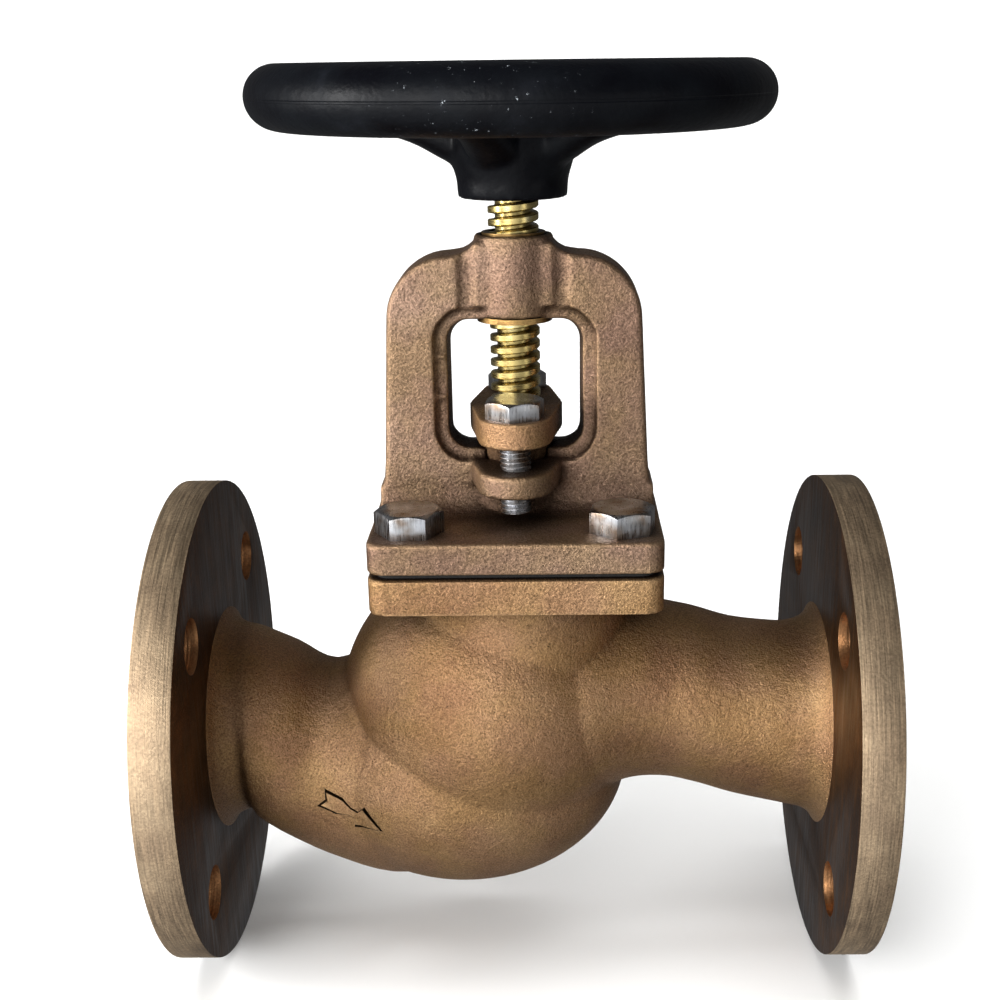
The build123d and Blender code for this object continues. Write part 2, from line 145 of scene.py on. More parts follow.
def block(name, size, centre):
    start_clean()
    place = (centre[0] * MM, centre[1] * MM, (AXIS_Z + centre[2]) * MM)
    bpy.ops.mesh.primitive_cube_add(size=1, location=place, scale=[s * MM for s in size])
    return take(name)


def copy_of(piece, name, move):
    """A copy with a mesh of its own, which is turned or moved inside that mesh."""
    choose(piece)
    bpy.ops.object.duplicate(linked=False)
    made = take(name)
    made.data.transform(move)
    return made


def add_to(piece, other):
    """Joins two pieces into one object without melting them."""
    start_clean()
    other.select_set(True)
    piece.select_set(True)
    bpy.context.view_layer.objects.active = piece
    bpy.ops.object.join()
    return piece


def cast_skin(piece, voxel, passes):
    """Melts the joined solids into one skin with soft inside corners, as a sand mould leaves them."""
    modify(piece, "REMESH", mode="VOXEL", voxel_size=voxel * MM)
    modify(piece, "SMOOTH", factor=0.5, iterations=passes)
    choose(piece)
    bpy.ops.object.shade_smooth()
    return piece


def finish_piece(piece, body, slot, *nodes):
    """The piece rides on its body and stands for these CAD nodes."""
    start_clean()
    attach(piece, body)
    if nodes:
        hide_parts(*nodes)
    print(piece.name, len(piece.data.polygons), "faces")
    return piece


# %% [markdown]
# ## Nodes for light and finishes
# The room and every finish are small trees of nodes. One function adds a node with its settings and
# links, and one turns the usual hex colours into the linear values that the shader works in. Object
# coordinates are in metres, so a pattern that repeats every millimetre has a scale of 1000.

# %% Helpers for nodes
def linear(code):
    values = [int(code[i:i + 2], 16) / 255 for i in (1, 3, 5)]
    return (*[v / 12.92 if v <= 0.04045 else ((v + 0.055) / 1.055) ** 2.4 for v in values], 1.0)


def per_mm(size):
    """The scale of a pattern whose features are this many millimetres wide."""
    return 1 / (size * MM)


def node(tree, kind, inputs=None, stops=(), output=0, **settings):
    """Adds a node and gives one output; an input takes a value or another node's output."""
    made = tree.nodes.new(kind)
    for key, value in settings.items():
        setattr(made, key, value)
    for key, value in (inputs or {}).items():
        if isinstance(value, bpy.types.NodeSocket):
            tree.links.new(value, made.inputs[key])
        else:
            made.inputs[key].default_value = value
    for index, (position, code) in enumerate(stops):
        elements = made.color_ramp.elements
        element = elements[index] if index < len(elements) else elements.new(position)
        element.position = position
        element.color = linear(code)
    return made.outputs[output]


def new_finish(name, metallic, roughness, colour):
    material = bpy.data.materials.new(name)
    material.use_nodes = True
    tree = material.node_tree
    shader = tree.nodes["Principled BSDF"]
    shader.inputs["Metallic"].default_value = metallic
    shader.inputs["Roughness"].default_value = roughness
    shader.inputs["Base Color"].default_value = linear(colour)
    print("finish", name)
    return material, tree, shader


# Short names for the kinds of node that come back most.
NOISE, RANGE, MIX, MATHS = "ShaderNodeTexNoise", "ShaderNodeMapRange", "ShaderNodeMix", "ShaderNodeMath"
RAMP, BUMP, COORDS = "ShaderNodeValToRGB", "ShaderNodeBump", "ShaderNodeTexCoord"
STRETCH, CREVICE = "ShaderNodeMapping", "ShaderNodeAmbientOcclusion"

# %% [markdown]
# ## Camera and light
# The camera stands a little to the right of the stem, just above the handwheel's height, and looks
# down at the body. A pale sweep of paper is floor and backdrop in one, so no horizon shows.

# %% Camera
EYE_MM = (11.3, -467.2, 217.8)
TURN_LEFT = math.radians(0.79)
LOOK_DOWN = math.radians(19.24)
ROLL = math.radians(-0.75)
start_clean()
eye_place = (EYE_MM[0] * MM, EYE_MM[1] * MM, (AXIS_Z + EYE_MM[2]) * MM)
bpy.ops.object.camera_add(location=eye_place)
camera = bpy.context.active_object
turn = Matrix.Rotation(TURN_LEFT, 3, "Z")
tilt = Matrix.Rotation(math.pi / 2 - LOOK_DOWN, 3, "X")
camera.rotation_euler = (turn @ tilt @ Matrix.Rotation(ROLL, 3, "Z")).to_euler()
camera.data.sensor_width = 36.0
camera.data.lens = 52.6
camera.data.shift_x = -0.0332
camera.data.shift_y = 0.0656
camera.data.clip_start = 0.01
bpy.context.scene.camera = camera
print("camera at", [round(v, 3) for v in eye_place])

# %% [markdown]
# The paper starts as a plane. Its far edge is extruded upwards, and a wide bevel rounds the corner
# between floor and wall, as paper that hangs from a rail would curve.

# %% Paper sweep, which is floor and backdrop
start_clean()
bpy.ops.mesh.primitive_plane_add(size=6.0, location=(0, 0, -0.0004))
sweep = take("paper_sweep")
bpy.ops.object.mode_set(mode="EDIT")
bpy.ops.mesh.select_mode(type="EDGE")
bpy.ops.mesh.select_all(action="DESELECT")
bpy.ops.object.mode_set(mode="OBJECT")
for edge in sweep.data.edges:
    ends = [sweep.data.vertices[v].co.y for v in edge.vertices]
    edge.select = min(ends) > 2.9
bpy.ops.object.mode_set(mode="EDIT")
bpy.ops.mesh.extrude_region_move(TRANSFORM_OT_translate={"value": (0, 0, 4.0)})
bpy.ops.object.mode_set(mode="OBJECT")
modify(sweep, "BEVEL", width=1.2, segments=12, limit_method="ANGLE")
bpy.ops.object.shade_smooth()
sweep.visible_glossy = False
print("paper", len(sweep.data.polygons), "faces")


# %% [markdown]
# The metal shows what stands around it more than any lamp. The table in front of the valve is bright
# and the room above it is dim, so upright faces shine, and what looks up stays dark. A key lamp
# stands by the camera, and the lamps for the paper are kept out of the metal's reflections.

# %% Soft lamps
def lamp(name, place, aim, size, power, in_reflections=True):
    start_clean()
    bpy.ops.object.light_add(type="AREA", location=place)
    light = bpy.context.active_object
    light.name = name
    light.data.shape = "RECTANGLE"
    light.data.size, light.data.size_y = size
    light.data.energy = power
    direction = Vector(aim) - Vector(place)
    light.rotation_euler = direction.to_track_quat("-Z", "Y").to_euler()
    light.visible_glossy = in_reflections
    return light


CENTRE = (0.0, 0.0, 0.13)
lamp("key_lamp", (-0.5, -1.0, 0.45), CENTRE, (0.5, 0.5), 11.0)
lamp("fill_lamp", (0.95, -0.75, 0.20), CENTRE, (0.4, 0.6), 1.2)
lamp("wheel_lamp", (-1.1, -0.35, 0.42), (0, 0, 0.29), (0.25, 0.5), 17.0)
lamp("paper_lamp", (0.0, -0.2, 1.9), (0.0, 0.3, 0.0), (1.6, 1.6), 30.0, False)
lamp("sweep_lamp", (0.0, 1.2, 2.2), (0.0, 2.6, 0.8), (2.5, 1.0), 60.0, False)


# %% [markdown]
# The room is soft light without a picture: its strength depends only on the direction. It rises
# towards the table in front of the valve and a little straight down. A camera that looks past the
# paper sees plain white.

# %% The room around the valve
world = bpy.data.worlds.new("soft_room")
bpy.context.scene.world = world
world.use_nodes = True
tree = world.node_tree
outlook = node(tree, COORDS, output="Generated")
room_steps = []
for direction, dim, bright in (
    ((-0.42, -0.9, -0.1), 0.3, 1.0), ((0, 0, -1), -0.5, 0.2), ((0, 0, -1), 0.0, 0.9),
):
    aim = {0: outlook, 1: Vector(direction).normalized()}
    towards = node(tree, "ShaderNodeVectorMath", aim, output="Value", operation="DOT_PRODUCT")
    room_steps.append(node(tree, RANGE, {0: towards, 1: dim, 2: bright}, interpolation_type="SMOOTHSTEP"))
in_front, below_eye_level, straight_down = room_steps
TABLE_GLOW, FLOOR_GLOW, DIM_GLOW = 1.35, 0.14, 0.1
table = node(tree, MATHS, {0: in_front, 1: below_eye_level}, operation="MULTIPLY")
floor_light = node(tree, MATHS, {0: straight_down, 1: FLOOR_GLOW, 2: DIM_GLOW}, operation="MULTIPLY_ADD")
light = node(tree, MATHS, {0: table, 1: TABLE_GLOW, 2: floor_light}, operation="MULTIPLY_ADD")
seen = node(tree, "ShaderNodeLightPath", output="Is Camera Ray")
background = tree.nodes["Background"]
tree.links.new(node(tree, MATHS, {0: light, 1: seen}, operation="MAXIMUM"), background.inputs["Strength"])
background.inputs["Color"].default_value = (0.95, 0.97, 1.0, 1.0)
bpy.context.scene.view_settings.view_transform = "Standard"
print("room light", len(tree.nodes), "nodes")


# %% [markdown]
# ## Finishes
# A finish starts from what the metal is and how its surface was made. Noise at the size of the real
# grain gives colour, roughness and height together, so that a pit is dark and dull as well as low.

# %% [markdown]
# ### Sand-cast bronze
# Gunmetal poured in a sand mould and shot blasted: a dull brown-gold metal with a pebbly skin about
# half a millimetre coarse, worn brighter on the corners with a painted highlight there as well,
# stained dark in small specks, and darkened in its hollows and crevices by painted shade.

# %% Cast bronze
# The dark brown that sheltered crevices are darkened towards, as painted shade.
PAINTED_SHADE = linear("#24160d")


def cast_bronze(name, grain_mm, grain_depth, light, mid, dark):
    material, tree, shader = new_finish(name, 0.92, 0.45, mid)
    place = node(tree, COORDS, output="Object")
    patches = node(tree, NOISE, {"Vector": place, "Scale": per_mm(30), "Detail": 3.0})
    tint = node(tree, NOISE, {"Vector": place, "Scale": per_mm(18), "Detail": 2.0})
    grain_size = {"Vector": place, "Scale": per_mm(grain_mm), "Detail": 3.0, "Roughness": 0.7}
    grain = node(tree, NOISE, grain_size)
    lumps = node(tree, NOISE, {"Vector": place, "Scale": per_mm(2.2), "Detail": 1.0})
    specks = node(tree, NOISE, {"Vector": place, "Scale": per_mm(0.55), "Detail": 2.0})
    colour = node(tree, RAMP, {0: patches}, [(0.2, dark), (0.5, mid), (0.8, light)])
    rosy = node(tree, RAMP, {0: tint}, [(0.38, "#86604f"), (0.62, "#94763f")])
    colour = node(tree, MIX, {0: 0.25, 6: colour, 7: rosy}, output=2, data_type="RGBA")
    shade = node(tree, RANGE, {0: grain, 1: 0.3, 2: 0.7, 3: 0.5, 4: 1.35})
    colour = node(
        tree, MIX, {0: 1.0, 6: colour, 7: shade}, output=2, data_type="RGBA", blend_type="MULTIPLY"
    )
    stain = node(tree, RANGE, {0: specks, 1: 0.36, 2: 0.26, 3: 0.0, 4: 0.85})
    # Pointiness lightens convex corners, as wear and a painted highlight, and darkens concave hollows as
    # painted shade.
    corner = node(tree, "ShaderNodeNewGeometry", output="Pointiness")
    wear_and_painted_highlight = node(tree, RANGE, {0: corner, 1: 0.515, 2: 0.58, 3: 0.0, 4: 0.5})
    painted_crevice_shade = node(tree, RANGE, {0: corner, 1: 0.495, 2: 0.45, 3: 0.0, 4: 0.85})
    for amount, tone in ((stain, "#1c120b"), (wear_and_painted_highlight, "#c9a67c"), (painted_crevice_shade, "#2a1a10")):
        colour = node(tree, MIX, {0: amount, 6: colour, 7: linear(tone)}, output=2, data_type="RGBA")
    # Ambient occlusion darkens sheltered crevices and corners towards a dark brown: painted shade.
    shelter = node(tree, CREVICE, {"Distance": 16 * MM}, output="AO", samples=6)
    unshaded = node(tree, RANGE, {0: shelter, 1: 0.3, 2: 0.95})
    colour = node(tree, MIX, {0: unshaded, 6: PAINTED_SHADE, 7: colour}, output=2, data_type="RGBA")
    tree.links.new(colour, shader.inputs["Base Color"])
    rough = node(tree, RANGE, {0: grain, 1: 0.3, 2: 0.7, 3: 0.62, 4: 0.36})
    tree.links.new(rough, shader.inputs["Roughness"])
    coarse = node(tree, RANGE, {0: lumps, 1: 0.3, 2: 0.7, 3: 0.0, 4: 0.35})
    height = node(tree, MATHS, {0: grain, 1: coarse}, operation="ADD")
    bump = node(tree, BUMP, {"Height": height, "Strength": 0.9, "Distance": grain_depth * MM})
    tree.links.new(bump, shader.inputs["Normal"])
    return material


BRONZE = cast_bronze("sand_cast_bronze", 0.6, 0.42, "#c49f78", "#ab8660", "#835f40")
YOKE_BRONZE = cast_bronze("sand_cast_bronze_coarse", 0.7, 0.42, "#a08772", "#8d7461", "#715b4c")

# %% [markdown]
# ### Turned bronze
# The flanges were skimmed in a lathe: the tool leaves fine rings round the pipe's axis. Noise that is
# drawn out along the rings gives the tool's lines, and a finer noise gives the pores of the casting.

# %% Turned bronze
def turned_bronze(name, light, mid, dark, stretch, line_mm, dullest=0.5):
    """stretch draws the line pattern out along each axis that has a small number."""
    material, tree, shader = new_finish(name, 0.95, 0.38, mid)
    place = node(tree, COORDS, output="Object")
    drawn_out = node(tree, STRETCH, {"Vector": place, "Scale": stretch})
    lines = node(tree, NOISE, {"Vector": drawn_out, "Scale": per_mm(line_mm)})
    patches = node(tree, NOISE, {"Vector": place, "Scale": per_mm(13), "Detail": 2.0})
    grain = node(tree, NOISE, {"Vector": place, "Scale": per_mm(0.8), "Detail": 3.0})
    colour = node(tree, RAMP, {0: patches}, [(0.2, dark), (0.5, mid), (0.8, light)])
    for pattern, darkest, brightest in ((lines, 0.72, 1.2), (grain, 0.75, 1.15)):
        shade = node(tree, RANGE, {0: pattern, 1: 0.3, 2: 0.7, 3: darkest, 4: brightest})
        colour = node(
            tree, MIX, {0: 1.0, 6: colour, 7: shade}, output=2, data_type="RGBA", blend_type="MULTIPLY"
        )
    # Ambient occlusion darkens sheltered corners towards a dark brown: painted shade.
    shelter = node(tree, CREVICE, {"Distance": 16 * MM}, output="AO", samples=6)
    unshaded = node(tree, RANGE, {0: shelter, 1: 0.3, 2: 0.95})
    colour = node(tree, MIX, {0: unshaded, 6: PAINTED_SHADE, 7: colour}, output=2, data_type="RGBA")
    tree.links.new(colour, shader.inputs["Base Color"])
    rough = node(tree, RANGE, {0: lines, 1: 0.3, 2: 0.7, 3: dullest - 0.18, 4: dullest})
    tree.links.new(rough, shader.inputs["Roughness"])
    both = node(tree, MATHS, {0: lines, 1: grain}, operation="ADD")
    bump = node(tree, BUMP, {"Height": both, "Strength": 0.5, "Distance": 0.18 * MM})
    tree.links.new(bump, shader.inputs["Normal"])
    return material


ROUND_THE_PIPE = (1.0, 0.03, 0.03)
DOWN_THE_BACK = (0.3, 1.0, 0.06)
ROUND_THE_STEM = (0.03, 0.03, 1.0)
RIM_BRONZE = turned_bronze("turned_bronze_rim", "#b9a386", "#a99378", "#96816a", ROUND_THE_PIPE, 0.5, 0.66)
# The flange back faces the body and lies in shade, so its finish is painted much darker than the rim:
# painted shade.
SHADED_BACK_BRONZE = turned_bronze("skimmed_flange_back_painted_shade", "#6d4d32", "#573d27", "#422d1c", DOWN_THE_BACK, 1.2)
HOLE_BRONZE = turned_bronze("drilled_bronze", "#c89468", "#b07f55", "#8f6440", ROUND_THE_PIPE, 0.6)
TRIM_BRONZE = turned_bronze("turned_bronze_trim", "#c8a46c", "#b08c56", "#8a6538", ROUND_THE_STEM, 0.4)

# %% [markdown]
# ### Stem brass
# High-tensile brass, screw cut and bright from rubbing in its bush, with painted shade in the thread roots.

# %% Stem brass
STEM_BRASS, tree, shader = new_finish("screw_cut_brass", 1.0, 0.28, "#c9b36a")
place = node(tree, COORDS, output="Object")
drawn_out = node(tree, STRETCH, {"Vector": place, "Scale": (0.15, 0.15, 1.0)})
lines = node(tree, NOISE, {"Vector": drawn_out, "Scale": per_mm(0.35)})
patches = node(tree, NOISE, {"Vector": place, "Scale": per_mm(9), "Detail": 4.0})
colour = node(tree, RAMP, {0: patches}, [(0.3, "#a8925a"), (0.55, "#cdb878"), (0.75, "#eadfb4")])
# Ambient occlusion darkens the thread roots towards a dark brown: painted shade.
shelter = node(tree, CREVICE, {"Distance": 2 * MM}, output="AO", samples=6)
thread_unshaded = node(tree, RANGE, {0: shelter, 1: 0.2, 2: 0.7})
colour = node(tree, MIX, {0: thread_unshaded, 6: linear("#1e1608"), 7: colour}, output=2, data_type="RGBA")
tree.links.new(colour, shader.inputs["Base Color"])
rough = node(tree, RANGE, {0: lines, 1: 0.3, 2: 0.7, 3: 0.2, 4: 0.4})
tree.links.new(rough, shader.inputs["Roughness"])
bump = node(tree, BUMP, {"Height": lines, "Strength": 0.3, "Distance": 0.05 * MM})
tree.links.new(bump, shader.inputs["Normal"])

# %% [markdown]
# ### Machined steel
# Plain bright hexagon bolts: the flats show the marks of the bar they were cut from, and the faces
# have a thin brown film.

# %% Bolt steel
BOLT_STEEL, tree, shader = new_finish("bright_steel", 1.0, 0.3, "#b9bbc0")
place = node(tree, COORDS, output="Object")
drawn_out = node(tree, STRETCH, {"Vector": place, "Scale": (1.0, 1.0, 0.1)})
lines = node(tree, NOISE, {"Vector": drawn_out, "Scale": per_mm(0.5)})
film = node(tree, NOISE, {"Vector": place, "Scale": per_mm(7), "Detail": 6.0})
colour = node(tree, RAMP, {0: film}, [(0.3, "#7d6a58"), (0.5, "#a9a8a8"), (0.7, "#cfd1d6")])
shade = node(tree, RANGE, {0: lines, 1: 0.3, 2: 0.7, 3: 0.8, 4: 1.1})
colour = node(tree, MIX, {0: 1.0, 6: colour, 7: shade}, output=2, data_type="RGBA", blend_type="MULTIPLY")
tree.links.new(colour, shader.inputs["Base Color"])
rough = node(tree, RANGE, {0: lines, 1: 0.3, 2: 0.7, 3: 0.22, 4: 0.45})
tree.links.new(rough, shader.inputs["Roughness"])
bump = node(tree, BUMP, {"Height": lines, "Strength": 0.35, "Distance": 0.05 * MM})
tree.links.new(bump, shader.inputs["Normal"])

# %% [markdown]
# ### Black paint on cast iron
# The handwheel was dipped in black paint over a rough casting. The paint is satin and a little uneven.
# The seam of the mould shows at half height, and the front is chipped where something knocked it.

# %% Wheel paint
WHEEL_PAINT, tree, shader = new_finish("black_wheel_paint", 0.0, 0.4, "#040507")
shader.inputs["Specular IOR Level"].default_value = 0.11
SEAM_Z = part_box("handwheel")[1].z - 10 * MM
KNOCKED_AT = (-6 * MM, -80 * MM, SEAM_Z)
place = node(tree, COORDS, output="Object")
ripple = node(tree, NOISE, {"Vector": place, "Scale": per_mm(2.2), "Detail": 5.0})
dust = node(tree, NOISE, {"Vector": place, "Scale": per_mm(20), "Detail": 8.0})
scratch = node(tree, NOISE, {"Vector": place, "Scale": per_mm(1.9), "Detail": 4.0, "Roughness": 0.75})
knock = node(tree, "ShaderNodeVectorMath", {0: place, 1: KNOCKED_AT}, output="Value", operation="DISTANCE")
near_knock = node(tree, RANGE, {0: knock, 1: 34 * MM, 2: 8 * MM})
chip = node(tree, RANGE, {0: scratch, 1: 0.66, 2: 0.72})
chipped = node(tree, MATHS, {0: chip, 1: near_knock}, operation="MULTIPLY")
colour = node(tree, RAMP, {0: dust}, [(0.35, "#030306"), (0.6, "#07090d"), (0.8, "#15171d")])
colour = node(tree, MIX, {0: chipped, 6: colour, 7: linear("#a9b0b6")}, output=2, data_type="RGBA")
tree.links.new(colour, shader.inputs["Base Color"])
rough = node(tree, RANGE, {0: dust, 1: 0.3, 2: 0.7, 3: 0.34, 4: 0.55})
tree.links.new(rough, shader.inputs["Roughness"])
height = node(tree, "ShaderNodeSeparateXYZ", {"Vector": place}, output="Z")
height = node(tree, MATHS, {0: height, 1: SEAM_Z}, operation="SUBTRACT")
off_seam = node(tree, MATHS, {0: height}, operation="ABSOLUTE")
seam = node(tree, RANGE, {0: off_seam, 1: 0.2 * MM, 2: 0.5 * MM})
skin = node(tree, MATHS, {0: ripple, 1: seam}, operation="ADD")
bump = node(tree, BUMP, {"Height": skin, "Strength": 0.6, "Distance": 0.3 * MM})
tree.links.new(bump, shader.inputs["Normal"])


# %% [markdown]
# ### Gasket sheet and graphite packing
# Both are dull and nearly black: pressed fibre sheet, and braided graphite yarn.

# %% Dull soft parts
def dull_fibre(name, light, dark, size_mm):
    material, tree, shader = new_finish(name, 0.0, 0.85, light)
    place = node(tree, COORDS, output="Object")
    fibre = node(tree, NOISE, {"Vector": place, "Scale": per_mm(size_mm), "Detail": 6.0})
    colour = node(tree, RAMP, {0: fibre}, [(0.3, dark), (0.7, light)])
    tree.links.new(colour, shader.inputs["Base Color"])
    bump = node(tree, BUMP, {"Height": fibre, "Strength": 0.5, "Distance": 0.1 * MM})
    tree.links.new(bump, shader.inputs["Normal"])
    return material


GASKET_SHEET = dull_fibre("gasket_sheet", "#1d1a17", "#0c0b0a", 1.2)
GRAPHITE = dull_fibre("graphite_packing", "#2a2a2c", "#101012", 0.8)

# %% [markdown]
# ### Paper
# The valve stands on matt white paper. Its tooth is too fine to see, and only breaks up the light.

# %% Paper
PAPER, tree, shader = new_finish("white_paper", 0.0, 0.9, "#f4f4f3")
place = node(tree, COORDS, output="Object")
tooth = node(tree, NOISE, {"Vector": place, "Scale": per_mm(1.5), "Detail": 2.0})
bump = node(tree, BUMP, {"Height": tooth, "Strength": 0.1, "Distance": 0.1 * MM})
tree.links.new(bump, shader.inputs["Normal"])
sweep.data.materials.append(PAPER)


# %% [markdown]
# ## The body casting
# The flow enters at the left, dips under the seat, comes up through it and leaves at the right. So
# the casting is two gourds on top of each other. Each is a ring of points that is extruded along
# the pipe, and moved and widened at each step. A smooth curve through a few stations gives the
# steps, because the real pattern was carved by eye through such stations.

# %% Extrude a ring through stations
def smooth_stations(stations, steps):
    """Points on a smooth curve through (x, z, radius) stations."""
    found = []
    last = len(stations) - 1
    for index in range(last):
        before = stations[max(index - 1, 0)]
        here, there = stations[index], stations[index + 1]
        after = stations[min(index + 2, last)]
        for step in range(steps):
            t = step / steps
            point = []
            for a, b, c, d in zip(before, here, there, after):
                curve = 2 * b + (c - a) * t + (2 * a - 5 * b + 4 * c - d) * t ** 2
                curve += (3 * b - a - 3 * c + d) * t ** 3
                point.append(curve / 2)
            found.append(point)
    found.append(list(stations[last]))
    return found


def gourd(name, stations, steps=4, sides=72):
    """A closed solid swept along the pipe through rings of (x, z, radius)."""
    rings = smooth_stations(stations, steps)
    x, z, radius = rings[0]
    start_clean()
    place = (x * MM, 0, (AXIS_Z + z) * MM)
    bpy.ops.mesh.primitive_circle_add(
        vertices=sides, radius=radius * MM, fill_type="NGON", location=place,
        rotation=(0, math.pi / 2, 0),
    )
    piece = take(name)
    bpy.ops.object.mode_set(mode="EDIT")
    bpy.ops.mesh.select_all(action="SELECT")
    for next_x, next_z, next_radius in rings[1:]:
        move = ((next_x - x) * MM, 0, (next_z - z) * MM)
        bpy.ops.mesh.extrude_region_move(TRANSFORM_OT_translate={"value": move})
        ratio = next_radius / radius
        middle = (next_x * MM, 0, (AXIS_Z + next_z) * MM)
        bpy.ops.transform.resize(value=(1, ratio, ratio), center_override=middle)
        x, z, radius = next_x, next_z, next_radius
    bpy.ops.mesh.select_all(action="SELECT")
    bpy.ops.mesh.normals_make_consistent(inside=False)
    bpy.ops.object.mode_set(mode="OBJECT")
    return piece


def ball(name, centre, half_sizes):
    start_clean()
    place = (centre[0] * MM, 0, (AXIS_Z + centre[1]) * MM)
    bpy.ops.mesh.primitive_uv_sphere_add(
        segments=72, ring_count=48, radius=1, location=place, scale=[s * MM for s in half_sizes]
    )
    return take(name)


# %% [markdown]
# The outside and the passage inside come from the same stations, one wall thickness apart. Next to
# a flange the outside ends in a flare, which is the fillet against the flange's back.

# %% Stations of the two chambers
WALL = 6.5
BULB = (-10.5, 6.0)
BULB_HALF = (51.5, 49.0, 51.5)
BOWL = (-19.5, -15.0)
BOWL_HALF = (56.0, 46.5, 43.6)
FLARE = ((-2.0, 8.5), (0.0, 6.4), (1.2, 4.2), (3.0, 2.3), (5.8, 0.9), (9.0, 0.2))


def flare_rings(side, out):
    """The fillet where the neck meets the flange, from the flange inwards."""
    return [(side * (FLANGE_BACK_X - back), 0.0, NECK_R + rise * out) for back, rise in FLARE]


def inlet_stations(wall):
    out = 1.0 if wall == 0 else 0.0
    neck = [(-90.0, -2.8, 33.8 - wall), (-79.0, -9.0, 34.9 - wall), (-65.0, -16.2, 35.3 - wall)]
    neck += [(-45.0, -15.5, 42.0 - wall), (-19.5, -15.0, 40.6 - wall)]
    if out:
        return flare_rings(-1, out) + neck
    return [(-FACE_X - 3, 0.0, BORE_R), (-FLANGE_BACK_X, 0.0, BORE_R)] + neck


def outlet_stations(wall):
    neck = [(-10.5, 6.0, 44.0 - wall), (18.0, 9.5, 39.5 - wall), (34.5, 11.5, 33.5 - wall)]
    neck += [(48.0, 10.0, 30.8 - wall), (60.0, 7.3, 30.7 - wall), (73.0, 3.2, 30.8 - wall)]
    neck += [(88.0, 0.5, 31.6 - wall)]
    if wall == 0:
        return neck + list(reversed(flare_rings(1, 1.0)))
    return neck + [(FLANGE_BACK_X, 0.0, BORE_R), (FACE_X + 3, 0.0, BORE_R)]


# %% [markdown]
# The outside is a union: the outlet's gourd, the upper bulb, the inlet's gourd, the lower bowl, the
# round collar under the cover flange, and the flange. The bowl is a little slimmer than the bulb from
# front to back, which makes the crease between them.

# %% Outside of the casting
COLLAR_R = 38.5
COVER_HALF = 46.0
COVER_CORNER = 5.0
BODY_TOP = bottom_of("bonnet_gasket")
COVER_LOW = BODY_TOP - 11.8


def cover_slab(name, low, high):
    """A square plate with rounded corners, such as the two cover flanges."""
    side = 2 * COVER_HALF
    slab = block(name, (side, side, high - low), (0, 0, (low + high) / 2))
    bpy.ops.object.mode_set(mode="EDIT")
    bpy.ops.mesh.select_all(action="DESELECT")
    bpy.ops.object.mode_set(mode="OBJECT")
    for edge in slab.data.edges:
        a, b = (slab.data.vertices[v].co for v in edge.vertices)
        edge.select = abs(a.z - b.z) > 1 * MM
    bpy.ops.object.mode_set(mode="EDIT")
    bpy.ops.mesh.bevel(offset=COVER_CORNER * MM, segments=8, affect="EDGES")
    bpy.ops.object.mode_set(mode="OBJECT")
    return slab


def slimmed(inlet):
    """Makes the inlet slimmer from front to back, from its neck towards the bowl."""
    for vertex in inlet.data.vertices:
        share = min(1.0, max(0.0, (vertex.co.x / MM + 82.0) / 32.0))
        vertex.co.y *= 1.0 - 0.09 * share
    return inlet


casting = gourd("body_casting", outlet_stations(0))
combine(casting, ball("bulb", BULB, BULB_HALF), "UNION")
combine(casting, slimmed(gourd("inlet", inlet_stations(0))), "UNION")
combine(casting, ball("bowl", BOWL, BOWL_HALF), "UNION")
combine(casting, cylinder("collar", COLLAR_R, BULB[1], COVER_LOW + 2), "UNION")
combine(casting, cover_slab("cover_flange", COVER_LOW, BODY_TOP), "UNION")
print("outside", len(casting.data.polygons), "faces")

# %% [markdown]
# The bridge wall between the chambers is what is left when each passage stops short of it: the
# lower one under a ceiling, the upper one above a floor. Both slope so that the flow turns gently.

# %% The passages inside
BRIDGE_TOP = 2.0
BRIDGE_THICK = 7.5
BRIDGE_HALF = 36.0
NECK_BORE_R = 33.0
SEAT_BORE_R = 29.05
FAR = 130.0


def side_wedge(name, outline):
    """A prism across the whole body from points (x, z) seen from the side."""
    start_clean()
    bpy.ops.mesh.primitive_circle_add(vertices=len(outline), radius=1, fill_type="NGON")
    piece = take(name)
    for vertex, (x, z) in zip(piece.data.vertices, outline):
        vertex.co = (x * MM, -FAR * MM, (AXIS_Z + z) * MM)
    bpy.ops.object.mode_set(mode="EDIT")
    bpy.ops.mesh.select_all(action="SELECT")
    bpy.ops.mesh.extrude_region_move(TRANSFORM_OT_translate={"value": (0, 2 * FAR * MM, 0)})
    bpy.ops.mesh.select_all(action="SELECT")
    bpy.ops.mesh.normals_make_consistent(inside=False)
    bpy.ops.object.mode_set(mode="OBJECT")
    return piece


ceiling = BRIDGE_TOP - BRIDGE_THICK
knee = BRIDGE_HALF + BRIDGE_THICK / 3
under = [(FAR, ceiling), (-knee, ceiling), (-FAR, ceiling + FAR - knee), (-FAR, -FAR), (FAR, -FAR)]
over = [(BRIDGE_HALF, BRIDGE_TOP), (FAR, BRIDGE_TOP - FAR + BRIDGE_HALF), (FAR, FAR), (-FAR, FAR)]
over += [(-FAR, BRIDGE_TOP + FAR - BRIDGE_HALF), (-BRIDGE_HALF, BRIDGE_TOP)]
lower = gourd("lower_passage", inlet_stations(WALL))
combine(lower, ball("inner_bowl", BOWL, [half - WALL for half in BOWL_HALF]), "UNION")
combine(lower, side_wedge("under_bridge", under), "INTERSECT")
upper = gourd("upper_passage", outlet_stations(WALL))
combine(upper, ball("inner_bulb", BULB, [half - WALL for half in BULB_HALF]), "UNION")
combine(upper, side_wedge("over_bridge", over), "INTERSECT")
combine(casting, lower, "DIFFERENCE")
combine(casting, upper, "DIFFERENCE")
combine(casting, cylinder("neck_bore", NECK_BORE_R, BULB[1] + 20, BODY_TOP + 1), "DIFFERENCE")
combine(casting, cylinder("port", BORE_R, ceiling - 2, BRIDGE_TOP + 1), "DIFFERENCE")
